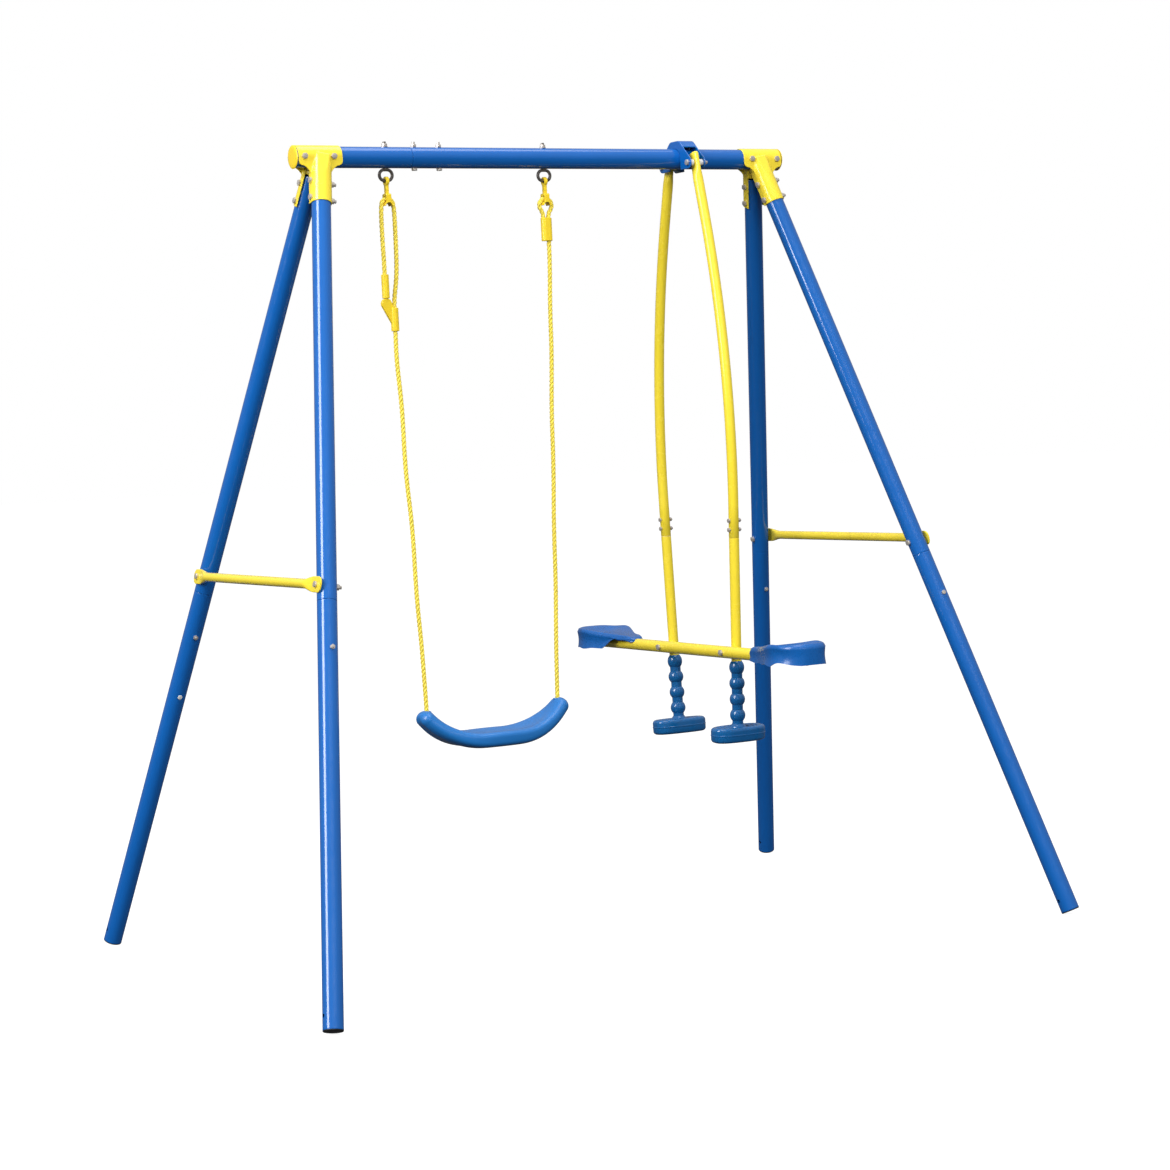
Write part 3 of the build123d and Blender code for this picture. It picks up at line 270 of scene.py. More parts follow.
@dataclass(frozen=True)
class MouldedPlastic(Finish):
    """Moulded polyethylene: satin gloss with slow flow marks and a fine texture."""

    roughness: float = 0.26
    coat: float = 0.25
    texture: float = 0.06

    def make(self) -> bpy.types.Material:
        """Build the material.

        Returns:
            The material.
        """
        material, graph, shader, coords = self.start()
        flow = graph.noise(coords, 16.0, 2.0)
        spots = graph.noise(coords, 90.0, 5.0)
        skin = graph.noise(coords, 900.0, 2.0)
        waves = graph.noise(coords, 38.0, 1.0)
        graph.link(graph.blend(flow, self.colour, self.shade), shader.inputs["Base Color"])
        rough = graph.spread(spots, self.roughness - 0.06, self.roughness + 0.1)
        graph.link(rough, shader.inputs["Roughness"])
        soft = graph.bump(waves, self.texture * 0.5, 0.0008)
        graph.link(graph.bump(skin, self.texture, 0.0001, soft), shader.inputs["Normal"])
        shader.inputs["Coat Weight"].default_value = self.coat
        shader.inputs["Coat Roughness"].default_value = 0.12
        shader.inputs["IOR"].default_value = 1.5
        return material


@dataclass(frozen=True)
class PlatedSteel(Finish):
    """Zinc-plated steel with a slightly mottled, brushed surface."""

    roughness: float = 0.3
    metallic: float = 0.6

    def make(self) -> bpy.types.Material:
        """Build the material.

        Returns:
            The material.
        """
        material, graph, shader, coords = self.start()
        mottle = graph.noise(coords, 240.0, 4.0)
        brush = graph.add("ShaderNodeMapping")
        brush.inputs["Scale"].default_value = (1.0, 1.0, 14.0)
        graph.link(coords, brush.inputs["Vector"])
        lines = graph.noise(brush.outputs["Vector"], 420.0, 3.0)
        graph.link(graph.blend(mottle, self.colour, self.shade), shader.inputs["Base Color"])
        rough = graph.spread(mottle, self.roughness - 0.1, self.roughness + 0.14)
        graph.link(rough, shader.inputs["Roughness"])
        graph.link(graph.bump(lines, 0.25, 0.0001), shader.inputs["Normal"])
        shader.inputs["Metallic"].default_value = self.metallic
        return material


@dataclass(frozen=True)
class RopeFibre(Finish):
    """Split-film polypropylene fibres lying along each strand of a rope."""

    fibres: float = 9.0

    def make(self) -> bpy.types.Material:
        """Build the material.

        Returns:
            The material.
        """
        material, graph, shader, coords = self.start()
        along = graph.add("ShaderNodeAttribute", attribute_name="along")
        around = graph.add("ShaderNodeAttribute", attribute_name="around")
        place = graph.add("ShaderNodeCombineXYZ")
        graph.link(around.outputs["Fac"], place.inputs["X"])
        graph.link(along.outputs["Fac"], place.inputs["Y"])
        stretch = graph.add("ShaderNodeMapping")
        stretch.inputs["Scale"].default_value = (self.fibres, 60.0, 1.0)
        graph.link(place.outputs["Vector"], stretch.inputs["Vector"])
        threads = graph.noise(stretch.outputs["Vector"], 1.6, 3.0)
        dust = graph.noise(coords, 14.0, 2.0)
        graph.link(graph.blend(threads, self.shade, self.colour), shader.inputs["Base Color"])
        graph.link(graph.spread(dust, 0.42, 0.58), shader.inputs["Roughness"])
        graph.link(graph.bump(threads, 0.7, 0.0006), shader.inputs["Normal"])
        shader.inputs["Sheen Weight"].default_value = 0.3
        shader.inputs["Sheen Roughness"].default_value = 0.4
        return material


@dataclass(frozen=True)
class Coat:
    """A finish that is made, and the material slot that it fills."""

    material: bpy.types.Material
    slot: str


@dataclass
class Palette:
    """Every finish of the set, made once."""

    blue_enamel: Coat
    yellow_enamel: Coat
    blue_plastic: Coat
    saddle_plastic: Coat
    grip_plastic: Coat
    yellow_plastic: Coat
    black_plastic: Coat
    white_plastic: Coat
    zinc: Coat
    dark_steel: Coat
    rope: Coat

    @staticmethod
    def mix() -> "Palette":
        """Make the materials.

        Returns:
            The palette.
        """
        finishes: list[Finish] = [
            PowderCoat(
                "blue_enamel", "blue_enamel", (0.003, 0.118, 0.45), (0.003, 0.104, 0.4), 0.14
            ),
            PowderCoat(
                "yellow_enamel", "yellow_enamel", (0.96, 0.77, 0.045), (0.92, 0.7, 0.035), 0.22
            ),
            MouldedPlastic(
                "blue_plastic", "blue_plastic", (0.012, 0.165, 0.5), (0.01, 0.145, 0.45), 0.34
            ),
            MouldedPlastic(
                "saddle_plastic", "blue_plastic", (0.003, 0.11, 0.4), (0.003, 0.096, 0.36), 0.27
            ),
            MouldedPlastic(
                "grip_plastic", "blue_plastic", (0.004, 0.125, 0.36), (0.003, 0.1, 0.31), 0.14, 0.6
            ),
            MouldedPlastic(
                "yellow_plastic", "yellow_plastic", (0.96, 0.74, 0.03), (0.92, 0.62, 0.02), 0.3
            ),
            MouldedPlastic(
                "black_plastic", "black_plastic", (0.012, 0.012, 0.013), (0.02, 0.02, 0.02),
                0.45, 0.0,
            ),
            MouldedPlastic(
                "white_plastic", "white_plastic", (0.8, 0.8, 0.78), (0.7, 0.7, 0.68), 0.35, 0.1
            ),
            PlatedSteel(
                "zinc", "zinc_steel", (0.78, 0.74, 0.68), (0.56, 0.5, 0.44), 0.3
            ),
            PlatedSteel(
                "dark_steel", "dark_steel", (0.2, 0.18, 0.165), (0.09, 0.08, 0.075), 0.34
            ),
            RopeFibre(
                "rope", "yellow_rope", (1.0, 0.84, 0.12), (0.8, 0.6, 0.04)
            ),
        ]
        return Palette(**{
            finish.name: Coat(finish.make(), finish.slot) for finish in finishes
        })


# ---------------------------------------------------------------- mesh making


def place_piece(
    name: str,
    mesh: bpy.types.Mesh,
    coat: Coat,
    body: str,
    nodes: Sequence[str] = (),
    crease: float = CREASE_TUBE,
) -> bpy.types.Object:
    """Put a finished mesh into the scene on its body.

    Args:
        name: Name of the piece.
        mesh: Its mesh, with its place in it.
        coat: Finish of the whole piece.
        body: Body that it rides on.
        nodes: CAD nodes that it stands for.
        crease: Edges sharper than this many degrees stay sharp.

    Returns:
        The new object.
    """
    mesh.name = name
    piece = bpy.data.objects.new(name, mesh)
    bpy.context.scene.collection.objects.link(piece)
    mesh.materials.clear()
    mesh.materials.append(coat.material)
    mesh.shade_smooth()
    mesh.set_sharp_from_angle(angle=math.radians(crease))
    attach(piece, body)
    if nodes:
        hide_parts(*nodes)
    log.info("%s: %d faces on %s", name, len(mesh.polygons), body)
    return piece


def skin(rings: Sequence[Ring], loop: bool = False, cap: bool = True) -> bpy.types.Mesh:
    """Join rings of equal length into a closed skin.

    Args:
        rings: Points of each ring, in order.
        loop: Whether the last ring joins the first.
        cap: Whether the two ends are filled.

    Returns:
        The mesh, with its faces outwards.
    """
    bm = bmesh.new()
    rows = [[bm.verts.new(point) for point in ring] for ring in rings]
    count = len(rows[0])
    pairs = list(zip(rows, rows[1:])) + ([(rows[-1], rows[0])] if loop else [])
    for low, high in pairs:
        for i in range(count):
            j = (i + 1) % count
            bm.faces.new((low[i], low[j], high[j], high[i]))
    if cap and not loop:
        bm.faces.new(rows[0])
        bm.faces.new(list(reversed(rows[-1])))
    bmesh.ops.remove_doubles(bm, verts=bm.verts, dist=MERGE_DISTANCE)
    bmesh.ops.recalc_face_normals(bm, faces=bm.faces)
    mesh = bpy.data.meshes.new("skin")
    bm.to_mesh(mesh)
    bm.free()
    return mesh


def ease(share: float) -> float:
    """Smooth step from 0 to 1, flat at both ends."""
    held = min(1.0, max(0.0, share))
    return held * held * (3 - 2 * held)


def square_to(axis: Vector, towards: Vector) -> tuple[Vector, Vector]:
    """Return two unit vectors square to an axis, the first leaning towards a direction."""
    first = (towards - axis * towards.dot(axis)).normalized()
    return first, axis.cross(first).normalized()


def lathe(
    profile: Sequence[tuple[float, float]],
    origin: Vector,
    axis: Vector,
    segments: int = TUBE_FACES,
) -> bpy.types.Mesh:
    """Turn a closed profile about an axis.

    Args:
        profile: (distance along the axis, radius) round the section; the first and
            last radii are 0 where the shape is solid.
        origin: Point on the axis where distances start.
        axis: Unit direction of the axis.
        segments: Faces round the shape.

    Returns:
        The turned mesh.
    """
    towards = ALONG_Z if abs(axis.z) < 0.9 else ALONG_X
    first, second = square_to(axis, towards)
    rings = []
    for distance, radius in profile:
        centre = origin + axis * distance
        ring = []
        for i in range(segments):
            angle = FULL_TURN * i / segments
            ring.append(centre + (first * math.cos(angle) + second * math.sin(angle)) * radius)
        rings.append(ring)
    solid = profile[0][1] == 0
    return skin(rings, loop=not solid, cap=False)


def tube_profile(
    start: float, end: float, radius: float, wall: float, lip: float
) -> list[tuple[float, float]]:
    """Profile of a tube with rounded rims, for lathe().

    Args:
        start: Place of the near end on the axis.
        end: Place of the far end on the axis.
        radius: Outer radius.
        wall: Wall thickness.
        lip: Rounding of the rims.

    Returns:
        (distance, radius) pairs round the wall's section.
    """
    inner = radius - wall
    first, last = start + lip + 0.002, end - lip - 0.002
    steps = max(2, round((last - first) / 0.09))
    stations = [first + (last - first) * k / steps for k in range(steps + 1)]
    return [
        (start + lip, radius),
        *((place, radius) for place in stations),
        (end - lip, radius),
        (end - lip * 0.3, radius - lip * 0.3),
        (end, radius - lip),
        (end, inner + lip * 0.3),
        (end - lip, inner),
        *((place, inner) for place in reversed(stations)),
        (start + lip, inner),
        (start, inner + lip * 0.3),
        (start, radius - lip),
        (start + lip * 0.3, radius - lip * 0.3),
    ]


def ellipse_ring(
    centre: Vector, first: Vector, second: Vector, a: float, b: float, power: float, count: int
) -> Ring:
    """Ring on a superellipse; power 2 is an ellipse, larger is squarer.

    Args:
        centre: Middle of the ring.
        first: Unit vector of the first half-axis.
        second: Unit vector of the second half-axis.
        a: Length of the first half-axis.
        b: Length of the second half-axis.
        power: Squareness.
        count: Number of points.

    Returns:
        The ring of points.
    """
    ring = []
    for i in range(count):
        angle = FULL_TURN * (i + 0.5) / count
        c, s = math.cos(angle), math.sin(angle)
        x = math.copysign(abs(c) ** (2 / power), c) * a
        y = math.copysign(abs(s) ** (2 / power), s) * b
        ring.append(centre + first * x + second * y)
    return ring


def join_meshes(meshes: Iterable[bpy.types.Mesh]) -> bpy.types.Mesh:
    """Put several meshes into one and drop the originals.

    Args:
        meshes: The meshes to join; they are removed.

    Returns:
        The joined mesh.
    """
    bm = bmesh.new()
    for mesh in meshes:
        bm.from_mesh(mesh)
        bpy.data.meshes.remove(mesh)
    joined = bpy.data.meshes.new("joined")
    bm.to_mesh(joined)
    bm.free()
    return joined


def copied_mesh(node: str) -> bpy.types.Mesh:
    """Return a merged copy of a CAD node's mesh.

    Args:
        node: Name of the CAD node.

    Returns:
        The copy, with its doubles merged.
    """
    source = bpy.data.objects[node].data
    bm = bmesh.new()
    bm.from_mesh(source)
    bmesh.ops.remove_doubles(bm, verts=bm.verts, dist=MERGE_DISTANCE)
    mesh = bpy.data.meshes.new(node)
    bm.to_mesh(mesh)
    bm.free()
    return mesh


def with_modifiers(
    mesh: bpy.types.Mesh, dress: Callable[[bpy.types.Object], None]
) -> bpy.types.Mesh:
    """Apply modifiers to a mesh.

    Args:
        mesh: The mesh to change.
        dress: Adds the modifiers to an object that holds the mesh.

    Returns:
        A new plain mesh.
    """
    holder = bpy.data.objects.new("holder", mesh)
    bpy.context.scene.collection.objects.link(holder)
    dress(holder)
    graph = bpy.context.evaluated_depsgraph_get()
    result = bpy.data.meshes.new_from_object(holder.evaluated_get(graph), depsgraph=graph)
    bpy.data.objects.remove(holder)
    return result


def softened(node: str, voxel: float, passes: int) -> bpy.types.Mesh:
    """Copy a CAD node and round its edges, as pressing or moulding leaves them.

    Args:
        node: The CAD node to copy.
        voxel: Grain of the new skin, in metres.
        passes: Smoothing passes.

    Returns:
        The rounded mesh.
    """

    def dress(holder: bpy.types.Object) -> None:
        """Remesh and smooth.

        Args:
            holder: Object that holds the mesh.
        """
        remesh = holder.modifiers.new("grain", "REMESH")
        remesh.mode = "VOXEL"
        remesh.voxel_size = voxel
        smooth = holder.modifiers.new("round", "SMOOTH")
        smooth.factor = 0.5
        smooth.iterations = passes

    return with_modifiers(copied_mesh(node), dress)


def bevelled(mesh: bpy.types.Mesh, width: float) -> bpy.types.Mesh:
    """Break the sharp edges of a mesh.

    Args:
        mesh: The mesh to change.
        width: Width of the bevel.

    Returns:
        The bevelled mesh.
    """

    def dress(holder: bpy.types.Object) -> None:
        """Add the bevel.

        Args:
            holder: Object that holds the mesh.
        """
        bevel = holder.modifiers.new("edge", "BEVEL")
        bevel.width = width
        bevel.segments = 2
        bevel.limit_method = "ANGLE"
        bevel.angle_limit = math.radians(40)
        bevel.use_clamp_overlap = True

    return with_modifiers(mesh, dress)


# ---------------------------------------------------------------- node trees


class PatternTree:
    """A Geometry Nodes tree with named sizes, which ends in one plain mesh."""

    def __init__(self, name: str) -> None:
        """Start the tree with a geometry input and output.

        Args:
            name: Name of the tree.
        """
        self.tree = bpy.data.node_groups.new(name, "GeometryNodeTree")
        self.graph = Graph(self.tree)
        face = self.tree.interface
        face.new_socket("Geometry", in_out="INPUT", socket_type="NodeSocketGeometry")
        face.new_socket("Geometry", in_out="OUTPUT", socket_type="NodeSocketGeometry")
        self.idents: dict[str, str] = {}
        self.source = self.graph.add("NodeGroupInput")
        self.target = self.graph.add("NodeGroupOutput")

    def size(self, name: str, kind: str = "NodeSocketFloat") -> bpy.types.NodeSocket:
        """Add a named input and return its socket inside the tree.

        Args:
            name: Name of the input.
            kind: Blender's name of the socket type.

        Returns:
            The input's socket inside the tree.
        """
        socket = self.tree.interface.new_socket(name, in_out="INPUT", socket_type=kind)
        self.idents[name] = socket.identifier
        return self.source.outputs[name]

    def math(self, operation: str, a: object, b: object = 0.0) -> bpy.types.NodeSocket:
        """Add a Math node on sockets or numbers.

        Args:
            operation: Blender's name of the operation.
            a: First socket or number.
            b: Second socket or number.

        Returns:
            Socket of the result.
        """
        node = self.graph.add("ShaderNodeMath", operation=operation)
        for index, value in enumerate((a, b)):
            if isinstance(value, (int, float)):
                node.inputs[index].default_value = value
            else:
                self.graph.link(value, node.inputs[index])
        return node.outputs[0]

    def scaled(
        self, vector: bpy.types.NodeSocket, factor: bpy.types.NodeSocket
    ) -> bpy.types.NodeSocket:
        """Scale a vector by a value.

        Args:
            vector: Socket of the vector.
            factor: Socket of the value.

        Returns:
            Socket of the scaled vector.
        """
        node = self.graph.add("ShaderNodeVectorMath", operation="SCALE")
        self.graph.link(vector, node.inputs[0])
        self.graph.link(factor, node.inputs["Scale"])
        return node.outputs[0]

    def vectors(
        self, operation: str, a: bpy.types.NodeSocket, b: bpy.types.NodeSocket
    ) -> bpy.types.NodeSocket:
        """Join two vectors with a Vector Math node.

        Args:
            operation: Blender's name of the operation.
            a: Socket of the first vector.
            b: Socket of the second vector.

        Returns:
            Socket of the result.
        """
        node = self.graph.add("ShaderNodeVectorMath", operation=operation)
        self.graph.link(a, node.inputs[0])
        self.graph.link(b, node.inputs[1])
        return node.outputs[0]

    def close(self, geometry: bpy.types.NodeSocket) -> None:
        """Realize the geometry, give it its material and send it out.

        Args:
            geometry: Socket of the finished pattern.
        """
        real = self.graph.add("GeometryNodeRealizeInstances")
        paint = self.graph.add("GeometryNodeSetMaterial")
        self.graph.link(geometry, real.inputs[0])
        self.graph.link(real.outputs[0], paint.inputs["Geometry"])
        self.graph.link(self.size("Finish", "NodeSocketMaterial"), paint.inputs["Material"])
        self.graph.link(paint.outputs[0], self.target.inputs[0])

    def grow(self, base: bpy.types.Mesh, **sizes: object) -> bpy.types.Mesh:
        """Run the tree on a mesh.

        Args:
            base: Points or edges that the pattern follows.
            sizes: Values of the named inputs, with underscores for spaces.

        Returns:
            The plain mesh.
        """

        def dress(holder: bpy.types.Object) -> None:
            """Add the tree and set its sizes.

            Args:
                holder: Object that holds the mesh.
            """
            modifier = holder.modifiers.new(self.tree.name, "NODES")
            modifier.node_group = self.tree
            for name, value in sizes.items():
                modifier[self.idents[name.replace("_", " ")]] = value

        return with_modifiers(base, dress)


def strand_tree(strands: int = 3) -> PatternTree:
    """Tree that lays twisted strands along a path.

    Args:
        strands: Number of strands.

    Returns:
        The tree, with inputs Step, Strand Radius, Lay Radius and Turns.
    """
    made = PatternTree("rope_lay")
    graph = made.graph
    step, thick = made.size("Step"), made.size("Strand Radius")
    lay, turns = made.size("Lay Radius"), made.size("Turns")
    path = graph.add("GeometryNodeMeshToCurve")
    graph.link(made.source.outputs["Geometry"], path.inputs["Mesh"])
    even = graph.add("GeometryNodeResampleCurve", mode="LENGTH")
    graph.link(path.outputs[0], even.inputs["Curve"])
    graph.link(step, even.inputs["Length"])
    length = graph.add("GeometryNodeSplineParameter").outputs["Length"]
    named = graph.add("GeometryNodeStoreNamedAttribute", data_type="FLOAT", domain="POINT")
    named.inputs["Name"].default_value = "along"
    graph.link(even.outputs[0], named.inputs["Geometry"])
    graph.link(length, named.inputs["Value"])
    normal = graph.add("GeometryNodeInputNormal").outputs[0]
    tangent = graph.add("GeometryNodeInputTangent").outputs[0]
    side = made.vectors("CROSS_PRODUCT", tangent, normal)
    circle = graph.add("GeometryNodeCurvePrimitiveCircle", mode="RADIUS")
    circle.inputs["Resolution"].default_value = 10
    graph.link(thick, circle.inputs["Radius"])
    factor = graph.add("GeometryNodeSplineParameter").outputs["Factor"]
    ring = graph.add("GeometryNodeStoreNamedAttribute", data_type="FLOAT", domain="POINT")
    ring.inputs["Name"].default_value = "around"
    graph.link(circle.outputs["Curve"], ring.inputs["Geometry"])
    graph.link(factor, ring.inputs["Value"])
    both = graph.add("GeometryNodeJoinGeometry")
    for index in range(strands):
        turn = made.math("MULTIPLY", made.math("MULTIPLY", length, turns), FULL_TURN)
        angle = made.math("ADD", turn, FULL_TURN * index / strands)
        across = made.scaled(normal, made.math("COSINE", angle))
        beside = made.scaled(side, made.math("SINE", angle))
        offset = made.scaled(made.vectors("ADD", across, beside), lay)
        move = graph.add("GeometryNodeSetPosition")
        graph.link(named.outputs[0], move.inputs["Geometry"])
        graph.link(offset, move.inputs["Offset"])
        tube = graph.add("GeometryNodeCurveToMesh")
        tube.inputs["Fill Caps"].default_value = True
        graph.link(move.outputs[0], tube.inputs["Curve"])
        graph.link(ring.outputs[0], tube.inputs["Profile Curve"])
        graph.link(tube.outputs[0], both.inputs[0])
    made.close(both.outputs[0])
    return made


def bead_tree() -> PatternTree:
    """Tree that puts a moulded bead at each point, with inputs Bead Radius and Squash.

    Returns:
        The tree.
    """
    made = PatternTree("bead_column")
    graph = made.graph
    radius, squash = made.size("Bead Radius"), made.size("Squash")
    ball = graph.add("GeometryNodeMeshUVSphere")
    ball.inputs["Segments"].default_value = 48
    ball.inputs["Rings"].default_value = 28
    graph.link(radius, ball.inputs["Radius"])
    scale = graph.add("ShaderNodeCombineXYZ")
    scale.inputs["X"].default_value = 1.0
    scale.inputs["Y"].default_value = 1.0
    graph.link(squash, scale.inputs["Z"])
    place = graph.add("GeometryNodeInstanceOnPoints")
    graph.link(made.source.outputs["Geometry"], place.inputs["Points"])
    graph.link(ball.outputs["Mesh"], place.inputs["Instance"])
    graph.link(scale.outputs[0], place.inputs["Scale"])
    made.close(place.outputs[0])
    return made


def points_mesh(points: Iterable[Vector], chain: bool = False) -> bpy.types.Mesh:
    """Mesh of loose points, or of one chain of edges.

    Args:
        points: Places of the points.
        chain: Whether edges join them in order.

    Returns:
        The mesh.
    """
    places = [tuple(point) for point in points]
    edges = [(i, i + 1) for i in range(len(places) - 1)] if chain else []
    mesh = bpy.data.meshes.new("points")
    mesh.from_pydata(places, edges, [])
    return mesh


# ---------------------------------------------------------------- legs and beam


@dataclass(frozen=True)
class LegLine:
    """Axis of one leg, from above the beam down to the ground."""

    side: Side
    end: End
    apex_x: float = 0.605
    apex_y: float = 0.010
    foot_x: float = 0.985
    foot_y: float = 0.680
    beam_height: float = 1.9

    @property
    def apex(self) -> Vector:
        """Point where distances down the leg start.

        Returns:
            The point.
        """
        return Vector((
            self.side.value * self.apex_x, self.end.value * self.apex_y, self.beam_height
        ))

    @property
    def run(self) -> Vector:
        """Vector from the apex to the ground."""
        foot = Vector((self.side.value * self.foot_x, self.end.value * self.foot_y, 0.0))
        return foot - self.apex

    @property
    def down(self) -> Vector:
        """Unit vector down the leg."""
        return self.run.normalized()

    @property
    def outboard(self) -> Vector:
        """Unit vector square to the leg and to Y, away from the middle."""
        return self.down.cross(ALONG_Y).normalized() * self.side.value

    @property
    def label(self) -> str:
        """Name ending, such as front_left."""
        return f"{self.end.name.lower()}_{self.side.name.lower()}"

    def at(self, distance: float) -> Vector:
        """Point on the axis at a distance down the leg."""
        return self.apex + self.down * distance


LEG_LINES = [LegLine(side, end) for side in Side for end in End]


@dataclass
class Legs:
    """Eight leg tubes with their foot plugs."""

    palette: Palette
    radius: float = 0.0225
    wall: float = 0.0012
    top: float = 0.046
    joint: float = 1.093
    anchor_up: float = 0.032
    anchor_radius: float = 0.0045
    plug_flange: float = 0.0025

    def foot(self, line: LegLine) -> float:
        """Distance down the leg of its lowest face."""
        lean = math.sqrt(1 - line.down.z ** 2) / abs(line.down.z)
        return line.run.length - self.radius * lean

    def drilled(self, mesh: bpy.types.Mesh, line: LegLine, distance: float) -> bpy.types.Mesh:
        """Cut the ground-anchor hole through both walls.

        Args:
            mesh: The leg's lower tube.
            line: Axis of the leg.
            distance: Place of the hole down the leg.

        Returns:
            The drilled tube.
        """
        reach = self.radius * 1.6
        start = line.at(distance) - line.outboard * reach
        profile = [
            (0.0, 0.0), (0.0, self.anchor_radius),
            (2 * reach, self.anchor_radius), (2 * reach, 0.0),
        ]
        cutter_mesh = lathe(profile, start, line.outboard, 32)
        cutter = bpy.data.objects.new("cutter", cutter_mesh)
        bpy.context.scene.collection.objects.link(cutter)

        def dress(holder: bpy.types.Object) -> None:
            """Add the cut.

            Args:
                holder: Object that holds the mesh.
            """
            cut = holder.modifiers.new("hole", "BOOLEAN")
            cut.operation = "DIFFERENCE"
            cut.object = cutter
            cut.solver = "EXACT"

        result = with_modifiers(mesh, dress)
        bpy.data.objects.remove(cutter)
        return result

    def build(self) -> None:
        """Make every leg."""
        for line in LEG_LINES:
            upper = lathe(
                tube_profile(self.top, self.joint - 0.0004, self.radius, self.wall, 0.0005),
                line.apex, line.down, LEG_FACES,
            )
            place_piece(
                f"leg_upper_tube_{line.label}", upper, self.palette.blue_enamel,
                "frame", [f"leg_upper_{line.label}"],
            )
            end = self.foot(line)
            lower = lathe(
                tube_profile(self.joint, end - self.plug_flange, self.radius, self.wall, 0.0008),
                line.apex, line.down, LEG_FACES,
            )
            lower = self.drilled(lower, line, end - self.anchor_up)
            place_piece(
                f"leg_lower_tube_{line.label}", lower, self.palette.blue_enamel,
                "frame", [f"leg_lower_{line.label}"],
            )
            edge = self.plug_flange
            inner = self.radius - self.wall - 0.0002
            profile = [
                (end, 0.0), (end, self.radius - 0.0012), (end - 0.0004, self.radius - 0.0004),
                (end - 0.0012, self.radius), (end - edge, self.radius),
                (end - edge, inner), (end - 0.016, inner), (end - 0.0175, inner - 0.001),
                (end - 0.0175, 0.0),
            ]
            plug = lathe(profile, line.apex, line.down, TUBE_FACES)
            place_piece(
                f"foot_plug_moulded_{line.label}", plug, self.palette.black_plastic,
                "frame", [f"foot_plug_{line.label}"],
            )


@dataclass
class TopBeam:
    """Two-piece beam with its end caps."""

    palette: Palette
    height: float = 1.9
    radius: float = 0.025
    wall: float = 0.0015
    half: float = 0.670
    joint_x: float = -0.372
    spigot: float = 0.110
    cap_radius: float = 0.0275

    def build(self) -> None:
        """Make both sections and both caps."""
        origin, along = Vector((0, 0, self.height)), ALONG_X
        short = lathe(
            tube_profile(-self.half, self.joint_x - 0.0005, self.radius, self.wall, 0.0006),
            origin, along, LEG_FACES,
        )
        inner = self.radius - self.wall - 0.0002
        spigot = lathe(
            tube_profile(
                self.joint_x - 0.004, self.joint_x + self.spigot, inner, self.wall, 0.0004
            ),
            origin, along, LEG_FACES,
        )
        place_piece(
            "beam_short_tube", join_meshes([short, spigot]), self.palette.blue_enamel,
            "frame", ["beam_short_section"],
        )
        long_tube = lathe(
            tube_profile(self.joint_x, self.half, self.radius, self.wall, 0.0009),
            origin, along, LEG_FACES,
        )
        place_piece(
            "beam_long_tube", long_tube, self.palette.blue_enamel,
            "frame", ["beam_long_section"],
        )
        for side in Side:
            out = along * side.value
            r = self.cap_radius
            profile = [
                (0.0035, 0.0), (0.0034, r * 0.5), (0.003, r * 0.82), (0.0022, r * 0.95),
                (0.0011, r), (0.0001, r), (0.0001, self.radius - self.wall),
                (-0.010, self.radius - self.wall - 0.0003), (-0.010, 0.0),
            ]
            cap = lathe([(self.half + t, q) for t, q in profile], origin, out, LEG_FACES)
            place_piece(
                f"beam_cap_{side.name.lower()}", cap, self.palette.yellow_plastic,
                "frame", [f"beam_end_cap_{side.name.lower()}"],
            )


@dataclass
class Pressings:
    """Pressed steel brackets: the four leg sockets and the glider's saddle."""

    palette: Palette
    grain: float = 0.0011
    saddle_grain: float = 0.0009
    passes: int = 5

    def build(self) -> None:
        """Round every pressed edge and paint the pressings."""
        for line in LEG_LINES:
            node = f"bracket_{line.label}"
            place_piece(
                f"leg_socket_{line.label}", softened(node, self.grain, self.passes),
                self.palette.yellow_enamel, "frame", [node], CREASE_MOULDED,
            )
        place_piece(
            "glider_saddle_pressing", softened("glider_saddle", self.saddle_grain, self.passes),
            self.palette.blue_enamel, "frame", ["glider_saddle"], CREASE_MOULDED,
        )


